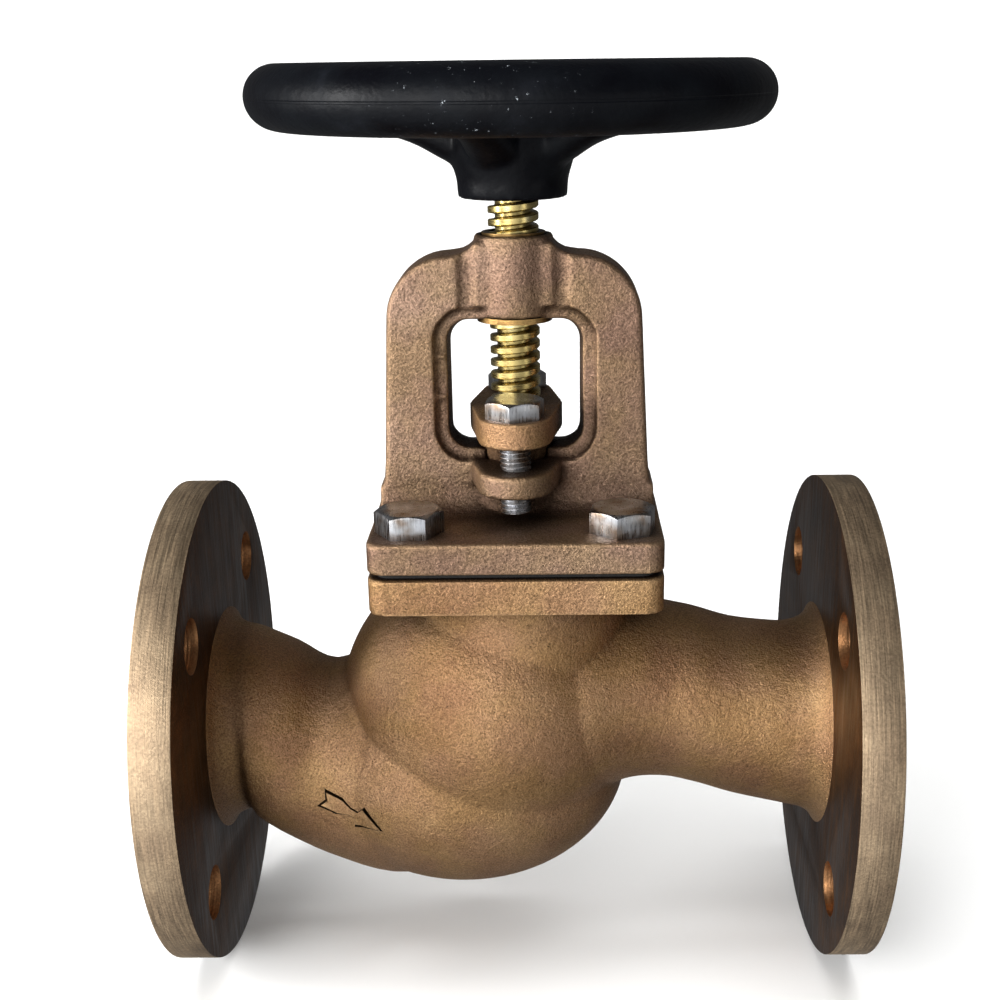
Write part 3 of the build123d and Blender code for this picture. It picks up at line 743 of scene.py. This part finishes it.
combine(casting, cylinder("seat_pocket", SEAT_BORE_R, BRIDGE_TOP - 5, BRIDGE_TOP + 1), "DIFFERENCE")
print("with passages", len(casting.data.polygons), "faces")

# %% [markdown]
# Sand moulds leave no sharp inside corners, so the whole casting is melted into an even skin of
# small squares, and that skin is relaxed.

# %% Skin of the body
cast_skin(casting, 1.0, 2)
SKIN_TRIANGLES = 190000
triangles = sum(len(face.vertices) - 2 for face in casting.data.polygons)
modify(casting, "DECIMATE", ratio=min(1.0, SKIN_TRIANGLES / triangles))
print("skin", triangles, "triangles, thinned to", len(casting.data.polygons))

# %% [markdown]
# The pattern maker pressed a thin arrow into the pattern, to show which way the flow goes. A prism
# with an arrow's outline sinks a shallow bed in the skin, and a slightly smaller prism, crossed with
# the inlet grown by the arrow's height, stands in it.

# %% Flow arrow
ARROW_RISE = 0.5
BED_DEPTH = 1.1
ARROW_AT = (-56.0, -19.5)
ARROW_TURN = math.radians(-24)
ARROW_OUTLINE = [(-10.5, -2.6), (-9.0, 0.0), (-10.5, 2.6), (-4.5, 2.6), (-1.0, 1.2), (1.5, 1.2)]
ARROW_OUTLINE += [(2.5, 3.6), (10.5, 0.0), (2.5, -3.6), (1.5, -1.2), (-1.0, -1.2), (-4.5, -2.6)]


def arrow_prism(name, along_factor, across_factor):
    """The arrow's outline, stretched, as a prism that reaches from inside the wall to the front."""
    turned = []
    for along, across in ARROW_OUTLINE:
        u, v = along * along_factor, across * across_factor
        x = ARROW_AT[0] + u * math.cos(ARROW_TURN) - v * math.sin(ARROW_TURN)
        z = ARROW_AT[1] + u * math.sin(ARROW_TURN) + v * math.cos(ARROW_TURN)
        turned.append((x, z))
    prism = side_wedge(name, turned)
    front = block("front_half", (60, 60, 60), (ARROW_AT[0], -58, ARROW_AT[1]))
    return combine(prism, front, "INTERSECT")


def inlet_side(name, rise):
    """The outside of the inlet and the bowl, grown or shrunk by rise."""
    made = slimmed(gourd(name, inlet_stations(-rise), 8))
    return combine(made, ball("grown_bowl", BOWL, [half + rise for half in BOWL_HALF]), "UNION")


bed = arrow_prism("arrow_bed", 1.1, 1.36)
combine(bed, inlet_side("shrunk", -BED_DEPTH), "DIFFERENCE")
combine(casting, bed, "DIFFERENCE")
arrow = combine(arrow_prism("flow_arrow", 1.0, 1.0), inlet_side("grown", ARROW_RISE), "INTERSECT")
print("arrow", len(arrow.data.polygons), "faces")
add_to(casting, arrow)
choose(casting)
bpy.ops.object.shade_smooth_by_angle(angle=math.radians(50))
casting.data.materials.clear()
casting.data.materials.append(BRONZE)
finish_piece(casting, "valve_body", "cast_bronze", "body")


# %% [markdown]
# ## Line flanges
# A flange is a turned plate: rim and back skimmed in the lathe, four holes drilled between the
# centre lines. It starts as a cylinder, its sharp edges get a small bevel, and the drill is a
# cylinder that is cut from it.

# %% Line flanges
def line_flange(name):
    low, high = -FACE_X, -FLANGE_BACK_X
    plate = cylinder_along(name, FLANGE_R, low, high, sides=180)
    combine(plate, cylinder_along("bore", BORE_R, low - 5, high + 5, sides=96), "DIFFERENCE")
    for quarter in range(4):
        angle = math.pi / 4 + quarter * math.pi / 2
        y, z = BOLT_CIRCLE_R * math.cos(angle), BOLT_CIRCLE_R * math.sin(angle)
        combine(plate, cylinder_along("drill", BOLT_HOLE_R, low - 5, high + 5, y, z, 48), "DIFFERENCE")
    modify(plate, "BEVEL", width=0.8 * MM, segments=2, limit_method="ANGLE", angle_limit=0.9)
    plate.data.materials.clear()
    for finish in (SHADED_BACK_BRONZE, RIM_BRONZE, HOLE_BRONZE):
        plate.data.materials.append(finish)
    for face in plate.data.polygons:
        from_axis = math.hypot(face.center.y, face.center.z - AXIS_Z * MM) / MM
        # Faces towards the body take the darker back finish, which is painted shade.
        if face.normal.x > 0.7:
            face.material_index = 0
        elif face.normal.x < -0.7 or from_axis > FLANGE_R - 3:
            face.material_index = 1
        else:
            face.material_index = 2
    choose(plate)
    bpy.ops.object.shade_smooth_by_angle(angle=math.radians(40))
    return plate


inlet_flange = line_flange("inlet_flange")
outlet_flange = copy_of(inlet_flange, "outlet_flange", Matrix.Rotation(math.pi, 4, "Z"))
for plate in (inlet_flange, outlet_flange):
    finish_piece(plate, "valve_body", "cast_bronze", "body")

# %% [markdown]
# ## Bonnet and yoke
# One casting again: a square plate, the stuffing box with its two lugs, and the flat arch that
# carries the stem's nut. The arch is a slab with its outline cut by a wedge, its window by a
# rounded block, and a shallow wider block leaves the lip around the window.

# %% Sizes of the bonnet
PLATE_LOW = top_of("bonnet_gasket")
PLATE_TOP = PLATE_LOW + 10.0
BOSS_TOP = top_of("bonnet")
YOKE_TOP = BOSS_TOP - 5.8
YOKE_DEPTH = 20.0
SILL = PLATE_TOP + 20.0
WINDOW_TOP = SILL + 42.4
WINDOW_HALF = 22.0
TOWER_R = 15.5
TOWER_TOP = PLATE_TOP + 17.1
LUG_LOW = TOWER_TOP - 7.4
GLAND_BOLT_Y = 21.0
COVER_BOLTS = [(x, y) for y in (-32.0, 32.0) for x in (-33.3, 33.3)]


def rounded_block(name, size, centre, radius):
    """A block whose four edges along Y are rounded."""
    made = block(name, size, centre)
    bpy.ops.object.mode_set(mode="EDIT")
    bpy.ops.mesh.select_all(action="DESELECT")
    bpy.ops.object.mode_set(mode="OBJECT")
    for edge in made.data.edges:
        a, b = (made.data.vertices[v].co for v in edge.vertices)
        edge.select = abs(a.y - b.y) > 1 * MM
    bpy.ops.object.mode_set(mode="EDIT")
    bpy.ops.mesh.bevel(offset=radius * MM, segments=10, affect="EDGES")
    bpy.ops.object.mode_set(mode="OBJECT")
    return made


def slotted(name, centre_r, ear_r, low, high):
    """An oval of a round middle and two ears, with straight flanks that touch them all."""
    slant = math.asin((centre_r - ear_r) / GLAND_BOLT_Y)
    near = (centre_r * math.cos(slant), centre_r * math.sin(slant))
    far = (ear_r * math.cos(slant), GLAND_BOLT_Y + ear_r * math.sin(slant))
    corners = [near, far, (-far[0], far[1]), (-near[0], near[1])]
    corners += [(-x, -y) for x, y in corners]
    start_clean()
    bpy.ops.mesh.primitive_circle_add(vertices=8, radius=1, fill_type="NGON")
    made = take(name)
    for vertex, (x, y) in zip(made.data.vertices, corners):
        vertex.co = (x * MM, y * MM, (AXIS_Z + low) * MM)
    bpy.ops.object.mode_set(mode="EDIT")
    bpy.ops.mesh.select_all(action="SELECT")
    bpy.ops.mesh.extrude_region_move(TRANSFORM_OT_translate={"value": (0, 0, (high - low) * MM)})
    bpy.ops.mesh.select_all(action="SELECT")
    bpy.ops.mesh.normals_make_consistent(inside=False)
    bpy.ops.object.mode_set(mode="OBJECT")
    combine(made, cylinder("middle", centre_r, low, high), "UNION")
    for side in (-1, 1):
        combine(made, cylinder("ear", ear_r, low, high, 0, side * GLAND_BOLT_Y), "UNION")
    return made


# %% [markdown]
# The arch is drawn as an outline from the side with the small blends beside the boss in it, and
# extruded through the slab's depth. Its shoulders are bevelled afterwards, because a bevel keeps the
# same radius on both.

# %% The arch
arch_outline = [(-46.2, PLATE_TOP - 3), (46.2, PLATE_TOP - 3), (45.6, PLATE_TOP), (43.4, PLATE_TOP + 8)]
arch_outline += [(42.6, PLATE_TOP + 16), (39.4, YOKE_TOP), (20.0, YOKE_TOP)]
arch_outline += [(16.2, YOKE_TOP + 0.7), (13.6, YOKE_TOP + 2.2), (12.0, YOKE_TOP + 4.2)]
arch_outline += [(-12.0, YOKE_TOP + 4.2), (-13.6, YOKE_TOP + 2.2), (-16.2, YOKE_TOP + 0.7)]
arch_outline += [(-20.0, YOKE_TOP), (-39.4, YOKE_TOP)]
arch_outline += [(-42.6, PLATE_TOP + 16), (-43.4, PLATE_TOP + 8), (-45.6, PLATE_TOP)]
arch = side_wedge("yoke_arch", arch_outline)
mid_z = (PLATE_TOP + YOKE_TOP) / 2
slab_size = (140.0, YOKE_DEPTH, 140.0)
combine(arch, block("slab", slab_size, (0, 0, mid_z)), "INTERSECT")
bpy.ops.object.mode_set(mode="EDIT")
bpy.ops.mesh.select_all(action="DESELECT")
bpy.ops.object.mode_set(mode="OBJECT")
for edge in arch.data.edges:
    a, b = (arch.data.vertices[v].co for v in edge.vertices)
    outer = abs(a.x) > 38 * MM and a.z > (AXIS_Z + YOKE_TOP - 1) * MM
    edge.select = abs(a.y - b.y) > 5 * MM and outer
bpy.ops.object.mode_set(mode="EDIT")
bpy.ops.mesh.bevel(offset=19.0 * MM, segments=14, affect="EDGES")
bpy.ops.object.mode_set(mode="OBJECT")
modify(arch, "BEVEL", width=1.6 * MM, segments=3, limit_method="ANGLE", angle_limit=1.0)
window_mid = (SILL + WINDOW_TOP) / 2
window_size = (2 * WINDOW_HALF, 20.5, WINDOW_TOP - SILL)
lip_size = (2 * WINDOW_HALF + 7.6, 10.0, WINDOW_TOP - SILL + 7.6)
for side in (-1, 1):
    face_y = side * (YOKE_DEPTH / 2 + 5.0 - 2.5)
    lip = rounded_block("lip", lip_size, (0, face_y, window_mid), 11.0)
    combine(arch, lip, "DIFFERENCE")
window = rounded_block("window", window_size, (0, 0, window_mid), 7.0)
bpy.ops.object.mode_set(mode="EDIT")
bpy.ops.mesh.select_all(action="SELECT")
bpy.ops.mesh.bisect(plane_co=(0, 0, 0), plane_no=(0, 1, 0))
bpy.ops.object.mode_set(mode="OBJECT")
for vertex in window.data.vertices:
    deep = 1.0 - min(1.0, abs(vertex.co.y) / (YOKE_DEPTH / 2 * MM))
    draft = 1.0 - 0.06 * deep
    vertex.co.x *= draft
    vertex.co.z = (vertex.co.z - (AXIS_Z + window_mid) * MM) * draft + (AXIS_Z + window_mid) * MM
combine(arch, window, "DIFFERENCE")
for height in (128.0, 115.0):
    mark_place = (-23.6, -YOKE_DEPTH / 2 + 3.2, height)
    combine(arch, block("travel_mark", (3.0, 3.0, 0.9), mark_place), "UNION")

# %% [markdown]
# The boss for the bush stands in the arch like a half-sunk column, with a soft groove down each side
# of it. The foot of the arch runs out on to the plate in a fillet, front and back.

# %% Hollows beside the boss, and the fillet at the foot
for side_x in (-1, 1):
    for side_y in (-1, 1):
        hollow = cylinder("hollow", 3.6, WINDOW_TOP + 3.0, YOKE_TOP + 10, side_x * 14.9, side_y * 12.2)
        combine(arch, hollow, "DIFFERENCE")
foot = [(-17.5, PLATE_TOP - 1), (-17.0, PLATE_TOP), (-13.8, PLATE_TOP + 0.9), (-11.6, PLATE_TOP + 2.9)]
foot += [(-10.4, PLATE_TOP + 5.4), (-9.8, PLATE_TOP + 8.5)]
foot += [(-along, height) for along, height in reversed(foot)]
fillet = side_wedge("foot_fillet", foot)
fillet.data.transform(Matrix.Rotation(math.pi / 2, 4, "Z"))
combine(fillet, block("span", (89.0, 60.0, 60.0), (0, 0, PLATE_TOP)), "INTERSECT")
combine(arch, fillet, "UNION")

# %% [markdown]
# The plate, the stuffing box with its lugs and the boss join the arch. The bores follow, and a flat
# seat is cut around each cover bolt, so that its head bears evenly.

# %% Plate, stuffing box, lugs and boss
bonnet = cover_slab("bonnet_casting", PLATE_LOW, PLATE_TOP)
combine(bonnet, arch, "UNION")
combine(bonnet, cylinder("stuffing_box", TOWER_R, PLATE_LOW + 1, TOWER_TOP), "UNION")
combine(bonnet, slotted("lugs", TOWER_R + 1, 12.0, LUG_LOW, TOWER_TOP), "UNION")
combine(bonnet, cylinder("boss", 12.5, WINDOW_TOP, BOSS_TOP), "UNION")
combine(bonnet, cylinder("register", NECK_BORE_R - 0.3, PLATE_LOW - 5.5, PLATE_LOW + 1), "UNION")
combine(bonnet, cylinder("hollow", 27.0, PLATE_LOW - 7, PLATE_LOW - 0.1), "DIFFERENCE")
combine(bonnet, cylinder("packing_bore", 12.05, PLATE_TOP - 3.6, SILL + 1), "DIFFERENCE")
combine(bonnet, cylinder("stem_bore", 8.6, PLATE_LOW - 8, BOSS_TOP + 1), "DIFFERENCE")
combine(bonnet, cylinder("bush_bore", 10.05, WINDOW_TOP - 1, BOSS_TOP + 1), "DIFFERENCE")
for x, y in COVER_BOLTS:
    combine(bonnet, cylinder("spot_face", 12.4, PLATE_TOP, PLATE_TOP + 13, x, y), "DIFFERENCE")
print("bonnet", len(bonnet.data.polygons), "faces")
cast_skin(bonnet, 0.9, 3)
bonnet.data.materials.clear()
bonnet.data.materials.append(YOKE_BRONZE)
finish_piece(bonnet, "valve_body", "cast_bronze", "bonnet")

# %% [markdown]
# ## Gland
# The gland is an oval plate with two ears and a round nose that presses the packing.

# %% Gland
gland_low, gland_top = bottom_of("gland"), top_of("gland")
gland = slotted("gland_casting", 15.0, 11.5, gland_top - 8.4, gland_top)
combine(gland, cylinder("nose", 11.9, gland_low, gland_top - 6), "UNION")
combine(gland, cylinder("bore", 8.3, gland_low - 1, gland_top + 1), "DIFFERENCE")
for side in (-1, 1):
    combine(gland, cylinder("hole", 5.6, gland_low, gland_top + 1, 0, side * GLAND_BOLT_Y, 32), "DIFFERENCE")
cast_skin(gland, 0.6, 4)
gland.data.materials.clear()
gland.data.materials.append(BRONZE)
finish_piece(gland, "valve_body", "gland_bronze", "gland")


# %% [markdown]
# ## Bolts
# A hexagon head is a six-sided cylinder crossed with a blunt cone, which leaves the curved chamfer
# that every turned head has. The thread is one tooth's outline, swept by the Screw modifier.

# %% Lines that get spun
def traced_line(name, points):
    """One vertex extruded through (radius, height) points, ready to be spun."""
    start_clean()
    radius, height = points[0]
    bpy.ops.mesh.primitive_plane_add(size=MM, location=(radius * MM, 0, height * MM))
    line = take(name)
    bpy.ops.object.mode_set(mode="EDIT")
    bpy.ops.mesh.select_mode(type="VERT")
    bpy.ops.mesh.select_all(action="SELECT")
    bpy.ops.mesh.merge(type="CENTER")
    for next_radius, next_height in points[1:]:
        step = ((next_radius - radius) * MM, 0, (next_height - height) * MM)
        bpy.ops.mesh.extrude_region_move(TRANSFORM_OT_translate={"value": step})
        radius, height = next_radius, next_height
    bpy.ops.object.mode_set(mode="OBJECT")
    return line


def turned_rod(name, points, sides=64):
    """A round piece as a lathe makes it, from (radius, height) points above the pipe axis."""
    rod = traced_line(name, [(radius, AXIS_Z + height) for radius, height in points])
    modify(
        rod, "SCREW", angle=math.tau, steps=sides, render_steps=sides, screw_offset=0.0,
        use_merge_vertices=True, merge_threshold=0.001 * MM, use_normal_calculate=True,
    )
    bpy.ops.object.mode_set(mode="EDIT")
    bpy.ops.mesh.select_all(action="SELECT")
    bpy.ops.mesh.remove_doubles(threshold=0.001 * MM)
    bpy.ops.mesh.normals_make_consistent(inside=False)
    bpy.ops.object.mode_set(mode="OBJECT")
    return rod


# %% [markdown]
# A thread is the outline of one tooth, spun by the Screw modifier while it climbs one pitch a turn.
# It is made a little too long, and the ends are cut square and closed.

# %% Screw threads
def screw_thread(name, profile, pitch, low, high, sides=48, start=0.0):
    """A closed threaded rod; profile is (radius, height) over one pitch, from root to root."""
    turns = math.ceil((high - low) / pitch) + 2
    rod = traced_line(name, [(radius, height - pitch) for radius, height in profile])
    modify(
        rod, "SCREW", angle=math.tau, steps=sides, render_steps=sides, iterations=turns,
        screw_offset=pitch * MM, use_merge_vertices=True, merge_threshold=0.001 * MM,
        use_normal_calculate=True,
    )
    rod.data.transform(Matrix.Rotation(start, 4, "Z"))
    rod.data.transform(Matrix.Translation((0, 0, (AXIS_Z + low) * MM)))
    for height, keep_above in ((low, True), (high, False)):
        choose(rod)
        bpy.ops.object.mode_set(mode="EDIT")
        bpy.ops.mesh.select_all(action="SELECT")
        bpy.ops.mesh.bisect(
            plane_co=(0, 0, (AXIS_Z + height) * MM), plane_no=(0, 0, 1), use_fill=True,
            clear_inner=keep_above, clear_outer=not keep_above,
        )
        bpy.ops.object.mode_set(mode="OBJECT")
    bpy.ops.object.mode_set(mode="EDIT")
    bpy.ops.mesh.select_all(action="SELECT")
    bpy.ops.mesh.normals_make_consistent(inside=False)
    bpy.ops.object.mode_set(mode="OBJECT")
    bpy.ops.object.shade_smooth_by_angle(angle=math.radians(35))
    return rod


# %% [markdown]
# The bolt joins a head and a threaded shank. Each size is modelled once and copied to its places, and
# every copy is turned a little differently, as a spanner leaves it.

# %% Bolts
def metric_profile(radius, pitch):
    depth = 0.61 * pitch
    return [(radius - depth, 0), (radius, 0.44 * pitch), (radius, 0.56 * pitch), (radius - depth, pitch)]


def hexagon(name, flats, low, high):
    corner_r = flats / 2 / math.cos(math.pi / 6)
    head = cylinder(name, corner_r, low, high, sides=6)
    head.data.transform(Matrix.Rotation(math.pi / 6, 4, "Z"))
    rise = high - low
    start_clean()
    bpy.ops.mesh.primitive_cone_add(
        vertices=96, radius1=(flats / 2 * 0.97 + rise * math.sqrt(3)) * MM, radius2=flats / 2 * 0.97 * MM,
        depth=rise * MM, location=(0, 0, (AXIS_Z + (low + high) / 2) * MM),
    )
    combine(head, take("chamfer_cone"), "INTERSECT")
    modify(head, "BEVEL", width=0.15 * MM, segments=2, limit_method="ANGLE", angle_limit=0.4)
    choose(head)
    bpy.ops.object.shade_smooth_by_angle(angle=math.radians(25))
    return head


def bolt(name, node_name, flats, head_height, shank_r, pitch):
    """A hexagon bolt with its thread, on the stem's axis, as high as this CAD bolt lies."""
    low_corner, high_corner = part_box(node_name)
    top = high_corner.z / MM - AXIS_Z
    tip = low_corner.z / MM - AXIS_Z
    head = hexagon(name, flats, top - head_height, top)
    profile = metric_profile(shank_r, pitch)
    add_to(head, screw_thread("thread", profile, pitch, tip, top - head_height, 32))
    head.data.materials.clear()
    head.data.materials.append(BOLT_STEEL)
    return head


def bolt_copies(pattern, places):
    """One copy of the bolt in each CAD bolt's place, turned as the spanner left it."""
    for name, (node_name, degrees) in places.items():
        low_corner, high_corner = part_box(node_name)
        middle = (low_corner + high_corner) / 2
        place = Matrix.Translation((middle.x, middle.y, 0)) @ Matrix.Rotation(math.radians(degrees), 4, "Z")
        made = copy_of(pattern, name, place)
        finish_piece(made, "valve_body", "bolt_steel", node_name)
    bpy.data.objects.remove(pattern)


# %% [markdown]
# Four M12 bolts hold the cover and two M10 bolts pull the gland down.

# %% Cover bolts and gland bolts
cover_places = {"cover_bolt_1": ("bonnet_bolt_1", 2.0), "cover_bolt_2": ("bonnet_bolt_2", 19.0)}
cover_places |= {"cover_bolt_3": ("bonnet_bolt_3", 8.0), "cover_bolt_4": ("bonnet_bolt_4", 25.0)}
bolt_copies(bolt("cover_bolt", "bonnet_bolt_1", 19.0, 7.5, 5.9, 1.75), cover_places)
gland_places = {"front_gland_bolt": ("gland_bolt_front", 21.5), "rear_gland_bolt": ("gland_bolt_rear", 4.0)}
bolt_copies(bolt("gland_bolt", "gland_bolt_front", 17.0, 5.6, 4.95, 1.5), gland_places)

# %% [markdown]
# ## Stem
# The stem's thread is trapezoidal, 16 mm across with a pitch of 4 mm. It runs from just above the
# gland up to the handwheel. Below it the stem is plain, so that the packing can grip it.

# %% Stem
PITCH = 4.0
START_TURN = 1.1
TRAPEZOID = [(5.75, 0.0), (5.75, 0.8), (6.0, 1.0), (7.7, 1.25), (8.0, 1.55), (8.0, 3.2), (7.7, 3.5)]
TRAPEZOID += [(6.0, 3.75), (5.75, 3.95), (5.75, 4.0)]
hub_low = bottom_of("handwheel")
thread_low = gland_top - 2.5
stem = screw_thread("threaded_stem", TRAPEZOID, PITCH, thread_low, hub_low, 64, START_TURN)
stem_low, stem_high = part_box("stem")
stem_bottom, stem_tip = stem_low.z / MM - AXIS_Z, stem_high.z / MM - AXIS_Z
hub_top = top_of("handwheel_washer") - 2.0


back_seat = bottom_of("back_seat_bush") - 13.3
lower_end = [(0, stem_bottom), (9.2, stem_bottom), (10.0, stem_bottom + 0.8), (10.0, stem_bottom + 4.7)]
lower_end += [(9.2, stem_bottom + 5.5), (7.95, stem_bottom + 5.5), (7.95, back_seat - 4)]
lower_end += [(10.4, back_seat - 4), (11.0, back_seat - 3.4), (11.0, back_seat - 2.8), (8.2, back_seat)]
lower_end += [(7.95, back_seat), (7.95, thread_low - 0.4), (7.1, thread_low + 0.4), (0, thread_low + 0.4)]
add_to(stem, turned_rod("plain_shank", lower_end))
add_to(stem, block("square_drive", (10.9, 10.9, hub_top - hub_low), (0, 0, (hub_low + hub_top) / 2)))
add_to(stem, screw_thread("top_thread", metric_profile(4.95, 1.5), 1.5, hub_top - 0.5, stem_tip, 32))
choose(stem)
bpy.ops.object.shade_smooth_by_angle(angle=math.radians(35))
stem.data.materials.clear()
stem.data.materials.append(STEM_BRASS)
finish_piece(stem, "stem_assembly", "stem_brass", "stem")

# %% [markdown]
# ## Handwheel
# A dished wheel: the hub sits low, five spokes rise from it to a rim that is nearly round in
# section. It is cast in one, so the pieces are melted together like the body.

# %% Handwheel
wheel_low, wheel_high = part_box("handwheel")
WHEEL_R = 80.5
RIM_HALF_WIDTH, RIM_HALF_HEIGHT = 10.0, 9.6
rim_z = wheel_high.z / MM - AXIS_Z - RIM_HALF_HEIGHT
rim_r = WHEEL_R - RIM_HALF_WIDTH
start_clean()
bpy.ops.mesh.primitive_torus_add(
    major_segments=160, minor_segments=40, major_radius=rim_r * MM, minor_radius=RIM_HALF_WIDTH * MM,
    location=(0, 0, (AXIS_Z + rim_z) * MM),
)
wheel = take("handwheel_casting")
bpy.ops.object.mode_set(mode="EDIT")
bpy.ops.mesh.select_all(action="SELECT")
squash = RIM_HALF_HEIGHT / RIM_HALF_WIDTH
bpy.ops.transform.resize(value=(1, 1, squash), center_override=(0, 0, (AXIS_Z + rim_z) * MM))
bpy.ops.object.mode_set(mode="OBJECT")
HUB_R = 17.0
hub_top_z = hub_low + 22.5
hub = cylinder("hub", HUB_R, hub_low, hub_top_z)
bpy.ops.object.mode_set(mode="EDIT")
bpy.ops.mesh.select_all(action="SELECT")
for share in (0.25, 0.42, 0.6):
    cut = (0, 0, (AXIS_Z + hub_low + share * (hub_top_z - hub_low)) * MM)
    bpy.ops.mesh.select_all(action="SELECT")
    bpy.ops.mesh.bisect(plane_co=cut, plane_no=(0, 0, 1))
bpy.ops.object.mode_set(mode="OBJECT")
for vertex in hub.data.vertices:
    climb = (vertex.co.z / MM - AXIS_Z - hub_low) / (hub_top_z - hub_low)
    wider = 1.0 + 0.16 * max(0.0, min(1.0, (climb - 0.2) / 0.4))
    vertex.co.x *= wider
    vertex.co.y *= wider
combine(wheel, hub, "UNION")


def spoke(name):
    """A spoke towards +X that starts low in the hub and rises into the rim."""
    stations = [(9.0, hub_low + 14.0, 8.0), (20.0, hub_low + 17.2, 6.6), (31.0, hub_low + 22.0, 5.6)]
    stations += [(44.0, hub_low + 25.5, 5.3), (57.0, hub_low + 28.5, 5.3), (rim_r, rim_z, 5.6)]
    made = gourd(name, stations, 4, 32)
    made.data.transform(Matrix.Diagonal((1.0, 1.25, 1.0, 1.0)))
    return made


first_spoke = spoke("spoke")
for index in range(5):
    turn = Matrix.Rotation(math.radians(36 + 72 * index), 4, "Z")
    combine(wheel, copy_of(first_spoke, "turned_spoke", turn), "UNION")
bpy.data.objects.remove(first_spoke)
combine(wheel, block("square_hole", (11, 11, 40), (0, 0, hub_low + 12)), "DIFFERENCE")
cast_skin(wheel, 1.0, 5)
wheel.data.materials.clear()
wheel.data.materials.append(WHEEL_PAINT)
finish_piece(wheel, "stem_assembly", "wheel_paint", "handwheel")

# %% [markdown]
# ## What stays as the CAD made it
# Turned rings, bushes, washers, the gasket and the packing are exactly the shape the CAD gives, so
# they stay and only get their finish.

# %% Finishes of the CAD pieces
kept_finishes = {
    "seat_ring": TRIM_BRONZE, "back_seat_bush": TRIM_BRONZE, "yoke_bush": TRIM_BRONZE,
    "packing_washer": TRIM_BRONZE, "disc": TRIM_BRONZE, "disc_nut": TRIM_BRONZE,
    "bonnet_gasket": GASKET_SHEET, "handwheel_washer": BOLT_STEEL, "handwheel_nut": BOLT_STEEL,
}
for index in range(4):
    kept_finishes[f"packing_ring_{index + 1}"] = GRAPHITE
for name, finish in kept_finishes.items():
    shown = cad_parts[name]
    shown.data.materials.clear()
    shown.data.materials.append(finish)

# %% [markdown]

# %% The end
bpy.context.view_layer.update()
